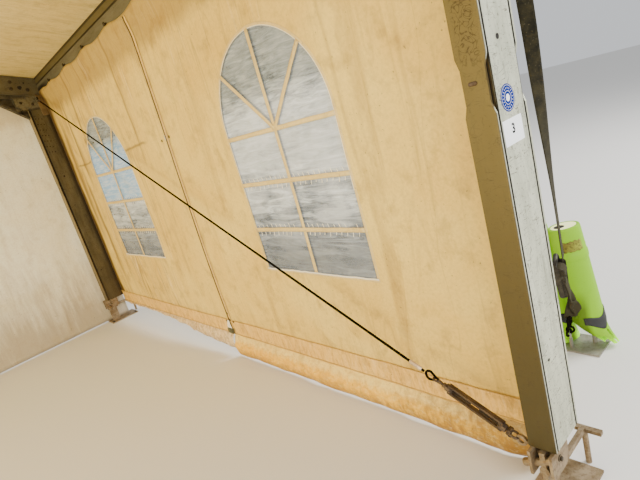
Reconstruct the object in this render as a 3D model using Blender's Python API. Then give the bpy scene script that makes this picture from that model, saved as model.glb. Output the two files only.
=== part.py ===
# Marquee tent, one bay of an aluminium frame tent with window walls.
# Units are metres. The ground is Z = 0, the open front faces -Y, and the
# origin is the middle of the floor plan. X runs across the span.
# Corner pieces are modelled once, at the front right, and mirrored.

import bpy
import bmesh
from math import cos, sin, tan, pi, radians, sqrt
from mathutils import Matrix, Vector
from mathutils.geometry import delaunay_2d_cdt

# Overall sizes
SPAN = 10.0                 # over the outer faces of the legs
BAY = 5.0                   # between the middles of the two frames
PITCH = radians(15.0)       # roof slope
FIT = 0.0003                # gap between pieces that touch

# Four channel aluminium profile, used for legs and rafters
PROFILE_DEPTH = 0.200
PROFILE_WIDTH = 0.103
PROFILE_WALL = 0.004
GROOVE_INSET = 0.015        # slit middle from the profile's outer face
GROOVE_SLIT = 0.005
GROOVE_BORE = 0.011         # width of the channel behind the slit
GROOVE_LIP = 0.003
GROOVE_DEPTH = 0.012
ENTRY_LOW = 1.50            # keder entry, where the lips are cut away
ENTRY_HIGH = 1.68
ENTRY_TAPER = 0.035
ENTRY_CUT = 0.010

# Legs
LEG_BOTTOM = 0.260
LEG_TOP = 2.430

# Rafters
EAVE_TOP = 2.745            # top of the rafter over the leg's outer face
RAFTER_TAIL = 0.035         # slope length past the leg's outer face
APEX_PLATE = 0.012

# Sheets
SHEET = 0.003               # thickness given to all fabric
FILM = 0.002                # clear window film
VALANCE = 0.200

# Purlins
PURLIN_WALL = 0.003
EAVE_PURLIN_DEPTH = 0.165   # at its inner face
EAVE_PURLIN_WIDTH = 0.058
EAVE_PURLIN_LINE = 0.066    # from its upper edge to the groove in its inner face
EAVE_PURLIN_RIB = 0.006     # width of that groove
MID_PURLIN = 0.080
MID_PURLIN_PLACE = 2.5      # from the middle of the span
RIDGE_PURLIN_WIDTH = 0.080
RIDGE_PURLIN_DEPTH = 0.100

# Eave bracket
SPIGOT_PLAY = 0.002
SPIGOT_LENGTH = 0.300
SPIGOT_STUB = 0.020         # how far the leg's spigot stands out of the leg
BRACKET_NECK = 0.150        # length of the neck between leg and rafter
COLLAR_IN = 0.090           # collar's end, from the leg's inner face
COLLAR_OUT = 0.070          # its other end, from the leg's outer face
COLLAR_BELOW = 0.035        # its top, from the rafter's underside
COLLAR_FACE = 0.085
KNEE_WIDTH = 0.070
KNEE_STRIP = 0.040          # the strip along the rafter's underside
KNEE_STRIP_REACH = 0.400    # its end, from the leg's inner face
KNEE_DROP = 0.075           # the strut's foot, below the leg's top
KNEE_STRUT = 0.024
KNEE_SLOPE = radians(40.5)
KNEE_WEB = 0.012
END_PLATE = 0.008
EYE_RING = 0.018            # mean radius of an eye
EYE_BAR = 0.011             # thickness of an eye's bar
EYE_SIDES = 12

# Feet
PLATE_X = 0.300
PLATE_Y = 0.200
PLATE_THICK = 0.012
LUG_THICK = 0.012
LUG_WIDTH = 0.136
LUG_LAP = 0.100             # how far the lugs reach into the leg
LUG_INSET = 0.032           # lug's inner edge from the leg's inner face
LUG_DROP = 0.103            # how far the lugs hang below the leg
LUG_CORNER = 0.028
BASE_LUG_THICK = 0.020
BASE_LUG_WIDTH = 0.084
BASE_LUG_TOP = 0.008        # its gap under the leg
PIN_RADIUS = 0.012
PIN_LENGTH = 0.098
PIN_PLACE = 0.029           # from the leg's inner face
PIN_DROP = 0.040            # below the leg
SLEEVE_RADIUS = 0.020
SLEEVE_LENGTH = 0.070
SLEEVE_DROP = 0.092
STUD_RADIUS = 0.016         # the tube that leans between the lugs
STUD_DROP = 0.036
STUD_FALL = 0.052
STUD_REACH = 0.080
CLIP_OUT = 0.080            # the stake's place, from the leg's outer face
CLIP_BAR = 0.024
CLIP_LENGTH = 0.100
CLIP_DROP = 0.095
STAKE_RADIUS = 0.012

# Side walls
WINDOW_WIDTH = 0.922
WINDOW_SILL = 0.803
WINDOW_SPRING = 1.655
ARCH_SIDES = 24

# Rear gable
POST_PLACE = SPAN / 6.0
POST_WIDTH = 0.120
POST_DEPTH = 0.090
POST_PLATE = 0.200

# Wind brace in each side wall
WIRE_RADIUS = 0.005
BRACE_TOP_IN = 0.085        # upper eye, from the leg's outer face
BRACE_TOP_RISE = 0.095      # above the leg's top
BRACE_FOOT_IN = 0.175
BRACE_FOOT_DROP = 0.010     # below the leg's lower end
BRACE_REACH = 0.040         # from the leg's face to the middle of the eye
BUCKLE_ROD = 0.080
BUCKLE_ROD_RADIUS = 0.0065
BUCKLE_BODY = 0.230
BUCKLE_HALF = 0.024
BUCKLE_SLOT_HALF = 0.012
BUCKLE_BOSS = 0.034
BUCKLE_THICK = 0.016

# Guy strap and its ground anchor
STRAP_WIDTH = 0.075
STRAP_THICK = 0.004
STRAP_TWIST = radians(75.0)
STRAP_STEPS = 14
GUY_EYE_AHEAD = 0.040       # its eye, from the middle of the frame
GUY_EYE_DROP = 0.125        # below the rafter's top
GUY_EYE_OUT = 0.070         # from the end plate to the middle of its eye
RATCHET_LENGTH = 0.190
RATCHET_WIDTH = 0.080
RATCHET_THICK = 0.044
RATCHET_PLACE = 0.86        # share of the way down the strap
ANCHOR_OUT = 0.875          # its eye, from the leg's outer face
ANCHOR_BACK = 0.330         # from the middle of the frame
ANCHOR_EYE_Z = 0.085
ANCHOR_PLATE_IN = 0.040     # from the eye to the plate's inner edge
ANCHOR_PLATE_EDGE = 0.020   # from the covers' outer sides in to the plate's edges
ANCHOR_PLATE_THICK = 0.010
COVER_RADIUS = 0.084
COVER_WALL = 0.005
COVER_HEIGHT = 0.740
COVER_LEAN = 0.085          # how far the top leans towards the rear
COVER_CLEAR = 0.006         # from the eye to the covers
COVER_GAP = 0.008           # between the two covers
COVER_BACK = 0.326          # their middle, from the middle of the frame
COVER_SIDES = 24
COVER_TOP_HOLE = 0.030
COVER_SEAM = (0.02, 0.50)   # start and end of their joint, as shares of the height

# Values that follow from the sizes above
HALF_SPAN = SPAN / 2
HALF_BAY = BAY / 2
LEG_X = HALF_SPAN - PROFILE_DEPTH / 2
LEG_INNER = HALF_SPAN - PROFILE_DEPTH
FRAME_FACE = HALF_BAY - PROFILE_WIDTH / 2
FRAME_BACK = HALF_BAY + PROFILE_WIDTH / 2
CAVITY_HALF = PROFILE_DEPTH / 2 - GROOVE_INSET - GROOVE_BORE / 2 - PROFILE_WALL
CAVITY_WIDTH_HALF = PROFILE_WIDTH / 2 - PROFILE_WALL
WALL_X = HALF_SPAN - GROOVE_INSET
WALL_BOTTOM = PLATE_THICK + FIT         # the walls end on the foot plates
ALONG = Vector((cos(PITCH), 0, -sin(PITCH)))
UPWARD = Vector((sin(PITCH), 0, cos(PITCH)))
EAVE_POINT = Vector((HALF_SPAN, 0, EAVE_TOP))
ANCHOR_X = HALF_SPAN + ANCHOR_OUT
ANCHOR_Y = -HALF_BAY + ANCHOR_BACK
COVER_X = ANCHOR_X + COVER_CLEAR + COVER_RADIUS
COVER_MIDDLE = -HALF_BAY + COVER_BACK
COVER_STEP = COVER_RADIUS + COVER_GAP / 2   # each cover, from their middle
COVER_Y = (COVER_MIDDLE - COVER_STEP, COVER_MIDDLE + COVER_STEP)


def slope_point(along, below, y=0.0):
    """A point on the right roof slope: distance past the leg's outer face,
    and distance below the rafter's top face."""
    return EAVE_POINT + ALONG * along - UPWARD * below + Vector((0, y, 0))


def slope_z(x, below):
    """Height of the plane that lies so far below the rafter's top face."""
    return EAVE_TOP + (HALF_SPAN - abs(x)) * tan(PITCH) - below / cos(PITCH)


# Mesh tools

def start_clean():
    for item in list(bpy.data.objects):
        bpy.data.objects.remove(item, do_unlink=True)


def material(name, colour, roughness, metallic=0.0, alpha=1.0):
    finish = bpy.data.materials.new(name)
    finish.use_nodes = True
    finish.diffuse_color = (*colour, alpha)
    shader = finish.node_tree.nodes["Principled BSDF"]
    shader.inputs["Base Color"].default_value = (*colour, 1.0)
    shader.inputs["Roughness"].default_value = roughness
    shader.inputs["Metallic"].default_value = metallic
    shader.inputs["Alpha"].default_value = alpha
    return finish


def new_object(name, points, faces, finish=None):
    mesh = bpy.data.meshes.new(name)
    mesh.from_pydata([tuple(point) for point in points], [], faces)
    shape = bmesh.new()
    shape.from_mesh(mesh)
    bmesh.ops.recalc_face_normals(shape, faces=shape.faces)
    shape.to_mesh(mesh)
    shape.free()
    item = bpy.data.objects.new(name, mesh)
    bpy.context.collection.objects.link(item)
    if finish:
        item.data.materials.append(finish)
    return item


def inside(point, loop):
    """Whether a point of the section plane lies within a closed outline."""
    crossings = 0
    for (u0, v0), (u1, v1) in zip(loop, loop[1:] + loop[:1]):
        if (v0 > point.y) != (v1 > point.y):
            crossings += point.x < u0 + (u1 - u0) * (point.y - v0) / (v1 - v0)
    return crossings % 2 == 1


def fill_section(section, loops):
    """Triangles that fill an outline and leave its holes open."""
    edges = []
    first = 0
    for loop in loops:
        size = len(loop)
        edges += [(first + i, first + (i + 1) % size) for i in range(size)]
        first += size
    filled = delaunay_2d_cdt([point.xy for point in section], edges, [], 1, 1e-7)
    faces = [[filled[3][corner][0] for corner in face] for face in filled[2]]

    def in_hole(face):
        middle = sum((section[corner] for corner in face), Vector()) / 3
        return any(inside(middle, loop) for loop in loops[1:])

    return [face for face in faces if not in_hole(face)]


def sweep(name, loops, near, far, finish=None):
    """A bar whose section is a flat outline, with holes as further loops.
    near and far place a section point on the two ends."""
    section = [Vector((u, v, 0)) for loop in loops for u, v in loop]
    flat = fill_section(section, loops)
    count = len(section)
    points = [near(p.x, p.y) for p in section] + [far(p.x, p.y) for p in section]
    faces = [tuple(face) for face in flat]
    faces += [tuple(index + count for index in reversed(face)) for face in flat]
    first = 0
    for loop in loops:
        size = len(loop)
        for step in range(size):
            a = first + step
            b = first + (step + 1) % size
            faces.append((a, b, b + count, a + count))
        first += size
    return new_object(name, points, faces, finish)


def prism_x(name, loops, x0, x1, finish=None):
    return sweep(name, loops, lambda y, z: Vector((x0, y, z)), lambda y, z: Vector((x1, y, z)), finish)


def prism_y(name, loops, y0, y1, finish=None):
    return sweep(name, loops, lambda x, z: Vector((x, y0, z)), lambda x, z: Vector((x, y1, z)), finish)


def prism_z(name, loops, z0, z1, finish=None):
    return sweep(name, loops, lambda x, y: Vector((x, y, z0)), lambda x, y: Vector((x, y, z1)), finish)


def rectangle(x0, x1, y0, y1):
    return [(x0, y0), (x1, y0), (x1, y1), (x0, y1)]


def box(name, x, y, z, finish=None):
    return prism_z(name, [rectangle(*x, *y)], *z, finish)


def circle(x, y, radius, sides):
    turn = 2 * pi / sides
    return [(x + radius * cos(turn * (i + 0.5)), y + radius * sin(turn * (i + 0.5))) for i in range(sides)]


def rod(name, start, end, radius, sides=10, finish=None):
    """A round bar between two points."""
    start = Vector(start)
    end = Vector(end)
    frame = line_frame(start, end)
    side = frame.col[1].xyz
    up = frame.col[2].xyz
    return sweep(name, [circle(0, 0, radius, sides)],
                 lambda u, v: start + side * u + up * v,
                 lambda u, v: end + side * u + up * v, finish)


def line_frame(start, end):
    """X along the line, Y level and across it, Z square to both."""
    ahead = (Vector(end) - Vector(start)).normalized()
    across = Vector((0, 0, 1)).cross(ahead)
    across = across.normalized() if across.length > 1e-6 else Vector((0, 1, 0))
    above = ahead.cross(across)
    frame = Matrix((ahead, across, above)).transposed().to_4x4()
    frame.translation = Vector(start)
    return frame


def combine(base, others, operation):
    """Applies one Boolean for each of the other pieces, then deletes them."""
    for other in others:
        step = base.modifiers.new(operation, "BOOLEAN")
        step.operation = operation
        step.solver = "EXACT"
        step.object = other
        bpy.context.view_layer.update()
        done = bpy.data.meshes.new_from_object(base.evaluated_get(bpy.context.evaluated_depsgraph_get()))
        base.modifiers.clear()
        base.data = done
        bpy.data.objects.remove(other, do_unlink=True)
    return base


def join(base, *others):
    return combine(base, others, "UNION")


def cut(base, *others):
    return combine(base, others, "DIFFERENCE")


def corner_name(kind, side, end):
    return f"{end}_{side}_{kind}"


CORNERS = (("right", "front", 1, 1), ("left", "front", -1, 1),
           ("right", "rear", 1, -1), ("left", "rear", -1, -1))


def mirror_copy(item, name, sx, sy):
    """A copy with its X and Y turned over where the sign is negative."""
    mesh = item.data.copy()
    mesh.transform(Matrix.Diagonal((sx, sy, 1, 1)))
    if sx * sy < 0:
        mesh.flip_normals()
    copy = bpy.data.objects.new(name, mesh)
    bpy.context.collection.objects.link(copy)
    return copy


def at_corners(item, kind):
    for side, end, sx, sy in CORNERS:
        mirror_copy(item, corner_name(kind, side, end), sx, sy)
    bpy.data.objects.remove(item, do_unlink=True)


def at_ends(item, kind):
    mirror_copy(item, "front_" + kind, 1, 1)
    mirror_copy(item, "rear_" + kind, 1, -1)
    bpy.data.objects.remove(item, do_unlink=True)


def at_sides(item, name):
    mirror_copy(item, "right_" + name, 1, 1)
    mirror_copy(item, "left_" + name, -1, 1)
    bpy.data.objects.remove(item, do_unlink=True)


# Profile sections

def groove(u, v_face, inward):
    """The points of one keder groove, seen from its -u side to its +u side."""
    slit = GROOVE_SLIT / 2
    bore = GROOVE_BORE / 2
    lip = v_face + inward * GROOVE_LIP
    floor = v_face + inward * GROOVE_DEPTH
    return [(u - slit, v_face), (u - slit, lip), (u - bore, lip), (u - bore, floor),
            (u + bore, floor), (u + bore, lip), (u + slit, lip), (u + slit, v_face)]


def profile_loops():
    """Outline and cavity of the four channel profile, depth by width."""
    half = PROFILE_DEPTH / 2
    side = PROFILE_WIDTH / 2
    place = half - GROOVE_INSET
    outline = [(-half, -side)]
    outline += groove(-place, -side, 1) + groove(place, -side, 1)
    outline += [(half, -side), (half, side)]
    outline += list(reversed(groove(place, side, -1))) + list(reversed(groove(-place, side, -1)))
    outline += [(-half, side)]
    cavity = rectangle(-CAVITY_HALF, CAVITY_HALF, -CAVITY_WIDTH_HALF, CAVITY_WIDTH_HALF)
    return [outline, cavity]


def tube_loops(u0, u1, v0, v1, wall):
    return [rectangle(u0, u1, v0, v1), rectangle(u0 + wall, u1 - wall, v0 + wall, v1 - wall)]


# Frame pieces, at the front right

def leg(finish):
    def low_end(u, v):
        return Vector((LEG_X + u, -HALF_BAY + v, LEG_BOTTOM))

    def top_end(u, v):
        return Vector((LEG_X + u, -HALF_BAY + v, LEG_TOP))

    item = sweep("leg", profile_loops(), low_end, top_end, finish)
    cutters = []
    for outward in (-1, 1):
        face = -HALF_BAY + outward * PROFILE_WIDTH / 2
        deep = face - outward * ENTRY_CUT
        clear = face + outward * ENTRY_CUT
        outline = [(clear, ENTRY_LOW), (face, ENTRY_LOW), (deep, ENTRY_LOW + ENTRY_TAPER),
                   (deep, ENTRY_HIGH - ENTRY_TAPER), (face, ENTRY_HIGH), (clear, ENTRY_HIGH)]
        for x in (LEG_INNER, HALF_SPAN):
            cutters.append(prism_x("entry", [outline], x - GROOVE_INSET, x + GROOVE_INSET))
    return cut(item, *cutters)


def rafter(finish):
    middle = PROFILE_DEPTH / 2

    def at_eave(u, v):
        return slope_point(RAFTER_TAIL, middle - u, -HALF_BAY + v)

    def at_ridge(u, v):
        start = slope_point(0, middle - u, -HALF_BAY + v)
        return start - ALONG * ((start.x - APEX_PLATE / 2 - FIT) / ALONG.x)

    item = sweep("rafter", profile_loops(), at_ridge, at_eave, finish)
    slot = neck("slot", FIT)
    return cut(item, slot)


def neck(name, play, finish=None):
    """The steel between leg and rafter, which passes through a slot in the
    rafter's underside. play widens it for the slot."""
    x1 = HALF_SPAN - (PROFILE_DEPTH - BRACKET_NECK) / 2 + play
    x0 = x1 - BRACKET_NECK - 2 * play
    top = PROFILE_DEPTH / 2
    outline = [(x0, LEG_TOP - top), (x1, LEG_TOP - top), (x1, slope_z(x1, top)), (x0, slope_z(x0, top))]
    half = CAVITY_WIDTH_HALF - SPIGOT_PLAY + play
    return prism_y(name, [outline], -HALF_BAY - half, -HALF_BAY + half, finish)


def knee_strut(x, above):
    """Height of the strut's lower edge, or of a line so far above it."""
    foot = LEG_TOP - KNEE_DROP
    return foot + (LEG_INNER - x) * tan(KNEE_SLOPE) + above / cos(KNEE_SLOPE)


def strip_meets_strut(below, above):
    """Where the strip's lower edge crosses a line along the strut."""
    level = slope_z(LEG_INNER, PROFILE_DEPTH + FIT + below)
    run = (level - knee_strut(LEG_INNER, above)) / (tan(KNEE_SLOPE) - tan(PITCH))
    x = LEG_INNER - run
    return x, knee_strut(x, above)


def knee(finish):
    """The strip under the rafter, the strut down to the leg and the core
    between them and the neck, as one flat outline with a web in its gap."""
    under = PROFILE_DEPTH + FIT
    collar_inner = LEG_INNER - COLLAR_IN
    collar_outer = HALF_SPAN - COLLAR_OUT
    reach = LEG_INNER - KNEE_STRIP_REACH
    start = strip_meets_strut(KNEE_STRIP, 0)
    corner = strip_meets_strut(KNEE_STRIP, KNEE_STRUT)
    edge = LEG_INNER - FIT
    low = LEG_TOP + FIT
    gap_end = collar_inner + COLLAR_IN / 2
    outline = [(reach, slope_z(reach, under)), (reach, slope_z(reach, under + KNEE_STRIP)), start,
               (edge, knee_strut(edge, 0)), (edge, low), (collar_outer, low),
               (collar_outer, slope_z(collar_outer, under))]
    gap = [corner, (gap_end, knee_strut(gap_end, KNEE_STRUT)),
           (gap_end, slope_z(gap_end, under + KNEE_STRIP))]
    half = KNEE_WIDTH / 2
    item = prism_y("knee", [outline, gap], -HALF_BAY - half, -HALF_BAY + half, finish)
    web = [(corner[0] - KNEE_WEB, corner[1]), (gap_end + KNEE_WEB, knee_strut(gap_end, KNEE_STRUT / 2)),
           (gap_end + KNEE_WEB, slope_z(gap_end, under + KNEE_STRIP / 2))]
    return join(item, prism_y("web", [web], -HALF_BAY - KNEE_WEB / 2, -HALF_BAY + KNEE_WEB / 2))


def collar():
    """The box across the leg's top, parallel to the rafter."""
    x0 = LEG_INNER - COLLAR_IN
    x1 = HALF_SPAN - COLLAR_OUT
    top = PROFILE_DEPTH + COLLAR_BELOW
    bottom = max(LEG_TOP + FIT, slope_z(x1, top + COLLAR_FACE))
    rise = (x1 - x0) * tan(PITCH)
    outline = [(x0, bottom + rise), (x1, bottom), (x1, slope_z(x1, top)), (x0, slope_z(x0, top))]
    return prism_y("collar", [outline], -HALF_BAY - PROFILE_WIDTH / 2, -HALF_BAY + PROFILE_WIDTH / 2)


def eave_bracket(finish):
    y0 = -HALF_BAY - PROFILE_WIDTH / 2
    y1 = -HALF_BAY + PROFILE_WIDTH / 2
    leg_play = CAVITY_HALF - SPIGOT_PLAY
    width = CAVITY_WIDTH_HALF - SPIGOT_PLAY
    leg_spigot = box("leg_spigot", (LEG_X - leg_play, LEG_X + leg_play),
                     (-HALF_BAY - width, -HALF_BAY + width),
                     (LEG_TOP - SPIGOT_LENGTH, LEG_TOP + SPIGOT_STUB))
    beam_spigot = sweep("beam_spigot", [rectangle(-leg_play, leg_play, -width, width)],
                        lambda u, v: slope_point(-PROFILE_DEPTH - SPIGOT_LENGTH,
                                                 PROFILE_DEPTH / 2 - u, -HALF_BAY + v),
                        lambda u, v: slope_point(RAFTER_TAIL + END_PLATE / 2,
                                                 PROFILE_DEPTH / 2 - u, -HALF_BAY + v))
    plate = sweep("end_plate", [rectangle(0, PROFILE_DEPTH, y0, y1)],
                  lambda u, v: slope_point(RAFTER_TAIL + FIT, u, v),
                  lambda u, v: slope_point(RAFTER_TAIL + FIT + END_PLATE, u, v))
    eye = mirrored_brace()[0]
    brace_eye = flat_ring("brace_eye", line_frame(*mirrored_brace()), 0, False)
    half_bar = EYE_BAR / 2
    brace_shank = box("brace_shank", (eye.x - half_bar + FIT, eye.x + half_bar - FIT),
                      (y1 - EYE_BAR, eye.y - EYE_RING), (eye.z - half_bar, eye.z + half_bar))
    guy = guy_eye_centre()
    guy_eye = flat_ring("guy_eye", line_frame(*guy_line()), 0, False)
    guy_shank = box("guy_shank", (guy.x - GUY_EYE_OUT, guy.x - EYE_RING),
                    (guy.y - half_bar + FIT, guy.y + half_bar - FIT),
                    (guy.z - EYE_BAR, guy.z + EYE_BAR))
    return join(knee(finish), collar(), leg_spigot, neck("neck", 0), beam_spigot, plate,
                brace_eye, brace_shank, guy_eye, guy_shank)


def guy_eye_centre():
    face = slope_point(RAFTER_TAIL + FIT + END_PLATE, 0)
    height = EAVE_TOP - GUY_EYE_DROP
    below = (face.z - height) / cos(PITCH)
    x = face.x - below * sin(PITCH) + GUY_EYE_OUT
    return Vector((x, -HALF_BAY - GUY_EYE_AHEAD, height))


def foot_lugs():
    """The two plates that reach up into the leg, the base lug between them
    and the pin through all three."""
    x0 = LEG_INNER - LUG_INSET
    x1 = x0 + LUG_WIDTH
    bottom = LEG_BOTTOM - LUG_DROP
    shoulder = LEG_BOTTOM - FIT
    inner = LEG_X - CAVITY_HALF + SPIGOT_PLAY
    outline = [(x0, bottom), (x1 - LUG_CORNER, bottom), (x1, bottom + LUG_CORNER),
               (x1, LEG_BOTTOM + LUG_LAP), (inner, LEG_BOTTOM + LUG_LAP), (inner, shoulder), (x0, shoulder)]
    face = CAVITY_WIDTH_HALF - SPIGOT_PLAY
    pin_x = LEG_INNER + PIN_PLACE
    pin_z = LEG_BOTTOM - PIN_DROP
    pieces = [prism_y("lug", [outline], -HALF_BAY + side * face, -HALF_BAY + side * (face - LUG_THICK))
              for side in (-1, 1)]
    pieces.append(box("base_lug", (pin_x - BASE_LUG_WIDTH / 2, pin_x + BASE_LUG_WIDTH / 2),
                      (-HALF_BAY - BASE_LUG_THICK / 2, -HALF_BAY + BASE_LUG_THICK / 2),
                      (PLATE_THICK / 2, LEG_BOTTOM - BASE_LUG_TOP)))
    pieces.append(rod("pin", (pin_x, -HALF_BAY - PIN_LENGTH / 2, pin_z),
                      (pin_x, -HALF_BAY + PIN_LENGTH / 2, pin_z), PIN_RADIUS))
    sleeve_z = LEG_BOTTOM - SLEEVE_DROP
    pieces.append(rod("sleeve", (x0 + SLEEVE_RADIUS, -HALF_BAY, sleeve_z),
                      (x0 + SLEEVE_RADIUS + SLEEVE_LENGTH, -HALF_BAY, sleeve_z), SLEEVE_RADIUS))
    return pieces


def foot_clip():
    """The stake at the leg's outer side and the bars that hold it."""
    x = HALF_SPAN + CLIP_OUT
    z = LEG_BOTTOM - CLIP_DROP
    half = CLIP_BAR / 2
    lug_end = LEG_INNER - LUG_INSET + LUG_WIDTH
    face = -HALF_BAY - CAVITY_WIDTH_HALF + SPIGOT_PLAY + LUG_THICK
    arm = box("clip_arm", (lug_end - LUG_CORNER, x), (face - LUG_THICK / 2, face + half), (z - half, z + half))
    bar = box("clip_bar", (x - half, x + half), (-HALF_BAY - CLIP_LENGTH, -HALF_BAY),
              (z - CLIP_BAR / 3, z + CLIP_BAR / 3))
    return [arm, bar, rod("stake", (x, face, 0), (x, face, z), STAKE_RADIUS)]


def foot(finish):
    plate = box("foot", (LEG_X - PLATE_X / 2, LEG_X + PLATE_X / 2),
                (-HALF_BAY - PLATE_Y / 2, -HALF_BAY + PLATE_Y / 2), (0, PLATE_THICK), finish)
    lug_face = -HALF_BAY + CAVITY_WIDTH_HALF - SPIGOT_PLAY
    top, low = brace_ends()
    eye = flat_ring("brace_eye", line_frame(top, low), (low - top).length, False)
    half_bar = EYE_BAR / 2
    shank = box("brace_shank", (low.x - half_bar + FIT, low.x + half_bar - FIT),
                (lug_face - LUG_THICK / 2, low.y - EYE_RING), (low.z - half_bar, low.z + half_bar))
    stud_z = LEG_BOTTOM - STUD_DROP
    stud = rod("stud", (LEG_INNER, -HALF_BAY - CAVITY_WIDTH_HALF + LUG_THICK, stud_z),
               (LEG_INNER, -HALF_BAY + STUD_REACH, stud_z - STUD_FALL), STUD_RADIUS)
    return join(plate, *foot_lugs(), *foot_clip(), eye, shank, stud)


def ridge_bracket(finish):
    """The plate between the two rafters, with a spigot into each."""
    top = slope_z(0, 0)
    y0 = -HALF_BAY - PROFILE_WIDTH / 2
    y1 = -HALF_BAY + PROFILE_WIDTH / 2
    plate = box("ridge_bracket", (-APEX_PLATE / 2, APEX_PLATE / 2), (y0, y1),
                (slope_z(0, PROFILE_DEPTH), top - APEX_PLATE * tan(PITCH)), finish)
    half = CAVITY_HALF - SPIGOT_PLAY
    width = CAVITY_WIDTH_HALF - SPIGOT_PLAY
    spigots = []
    for side in (-1, 1):
        def inner(u, v):
            return Vector((0, -HALF_BAY + v, slope_z(0, PROFILE_DEPTH / 2) + u / cos(PITCH)))

        def outer(u, v, side=side):
            x = SPIGOT_LENGTH + u * sin(PITCH)
            z = slope_z(0, PROFILE_DEPTH / 2) - SPIGOT_LENGTH * tan(PITCH) + u * cos(PITCH)
            return Vector((side * x, -HALF_BAY + v, z))

        spigots.append(sweep("spigot", [rectangle(-half, half, -width, width)], inner, outer))
    return join(plate, *spigots)


def eave_purlin_box():
    """Its inner and outer face, and how far below the rafter's top it starts."""
    outer = slope_point(RAFTER_TAIL, GROOVE_INSET + SHEET / 2).x
    return outer - EAVE_PURLIN_WIDTH, outer, GROOVE_INSET + SHEET / 2 + FIT


def eave_purlin(finish):
    """Upright hollow bar between the frames, bevelled on top with the roof,
    with a fine groove along its inner face."""
    length = FRAME_FACE - FIT
    inner, outer, under = eave_purlin_box()
    high = slope_z(inner, under)
    low = high - EAVE_PURLIN_DEPTH
    line = high - EAVE_PURLIN_LINE
    rib = EAVE_PURLIN_RIB / 2
    deep = PURLIN_WALL / 2
    outline = [(inner, low), (outer, low), (outer, slope_z(outer, under)), (inner, high),
               (inner, line + rib), (inner + deep, line + rib), (inner + deep, line - rib), (inner, line - rib)]
    left = inner + 2 * PURLIN_WALL
    right = outer - PURLIN_WALL
    inside = under + PURLIN_WALL
    cavity = [(left, low + PURLIN_WALL), (right, low + PURLIN_WALL), (right, slope_z(right, inside)),
              (left, slope_z(left, inside))]
    return prism_y("eave_purlin", [outline, cavity], -length, length, finish)


def mid_purlin(finish):
    length = FRAME_FACE - FIT
    top = GROOVE_INSET + SHEET / 2 + FIT
    middle = (MID_PURLIN_PLACE - HALF_SPAN) / cos(PITCH)
    loops = tube_loops(middle - MID_PURLIN / 2, middle + MID_PURLIN / 2, top, top + MID_PURLIN, PURLIN_WALL)
    return sweep("mid_purlin", loops, lambda u, v: slope_point(u, v, -length),
                 lambda u, v: slope_point(u, v, length), finish)


def ridge_purlin(finish):
    length = FRAME_FACE - FIT
    half = RIDGE_PURLIN_WIDTH / 2
    top = slope_z(half, GROOVE_INSET + SHEET / 2) - FIT
    loops = tube_loops(-half, half, top - RIDGE_PURLIN_DEPTH, top, PURLIN_WALL)
    return prism_y("ridge_purlin", loops, -length, length, finish)


# Fabric

def roof_sheet(finish):
    """One sheet from eave to eave, in the rafters' upper grooves, folded
    down over the eave purlins as valances."""
    over = GROOVE_INSET - SHEET / 2
    under = GROOVE_INSET + SHEET / 2
    inner_x = slope_point(RAFTER_TAIL, under).x + FIT
    outer_x = inner_x + SHEET
    bottom = slope_z(outer_x, over) - VALANCE
    outline = [(0, slope_z(0, over)), (outer_x, slope_z(outer_x, over)), (outer_x, bottom),
               (inner_x, bottom), (inner_x, slope_z(inner_x, under)), (0, slope_z(0, under))]
    left = [(-x, z) for x, z in reversed(outline) if x > 0]
    length = FRAME_FACE - FIT
    return prism_y("roof_sheet", [outline + left], -length, length, finish)


def wall_top():
    """The wall hangs from the underside of the eave purlin."""
    inner, outer, under = eave_purlin_box()
    return slope_z(inner, under) - EAVE_PURLIN_DEPTH - FIT


def window_outline(grow=0.0):
    half = WINDOW_WIDTH / 2 + grow
    middle = -HALF_BAY / 2
    points = [(middle + half, WINDOW_SILL - grow)]
    points += [(middle + half * cos(pi * i / ARCH_SIDES), WINDOW_SPRING + half * sin(pi * i / ARCH_SIDES))
               for i in range(ARCH_SIDES + 1)]
    points += [(middle - half, WINDOW_SILL - grow)]
    return points


def wall_panel(finish):
    """The front panel of the right wall, with its arched window."""
    outline = rectangle(-FRAME_FACE + FIT, -FIT / 2, WALL_BOTTOM, wall_top())
    return prism_x("wall_panel", [outline, window_outline()], WALL_X - SHEET / 2, WALL_X + SHEET / 2, finish)


def window_film(finish):
    return prism_x("window_film", [window_outline(-FIT)], WALL_X - FILM / 2, WALL_X + FILM / 2, finish)


def gable_panel(name, x0, x1, bottom, y0, finish):
    """A gable sheet from x0 to x1, up to the rafters' upper grooves."""
    over = GROOVE_INSET + SHEET
    corners = [x0, x1]
    if x0 < 0 < x1:
        corners.insert(1, 0.0)
    outline = [(x1, bottom), (x0, bottom)] + [(x, slope_z(x, over)) for x in corners]
    return prism_y(name, [outline], y0, y0 + SHEET, finish)


def gable_post(name, x, finish):
    """Hollow post between the ground and the rafter, on its own plate."""
    z1 = min(slope_z(x - POST_WIDTH / 2, PROFILE_DEPTH), slope_z(x + POST_WIDTH / 2, PROFILE_DEPTH)) - FIT
    outer = FRAME_BACK
    inner = outer - POST_DEPTH
    post = box(name, (x - POST_WIDTH / 2, x + POST_WIDTH / 2), (inner, outer), (PLATE_THICK / 2, z1), finish)
    plate = box("post_plate", (x - POST_PLATE / 2, x + POST_PLATE / 2),
                (outer - POST_PLATE, outer), (0, PLATE_THICK))
    return join(post, plate)


# Wind brace, in the right wall: from the rear bracket down to the front foot

def brace_ends():
    top = Vector((HALF_SPAN - BRACE_TOP_IN, FRAME_FACE - BRACE_REACH, LEG_TOP + BRACE_TOP_RISE))
    low = Vector((HALF_SPAN - BRACE_FOOT_IN, -FRAME_FACE + BRACE_REACH, LEG_BOTTOM - BRACE_FOOT_DROP))
    return top, low


def mirrored_brace():
    """The same line seen from the front bracket, which has its own eye."""
    return [Vector((end.x, -end.y, end.z)) for end in brace_ends()]


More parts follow.
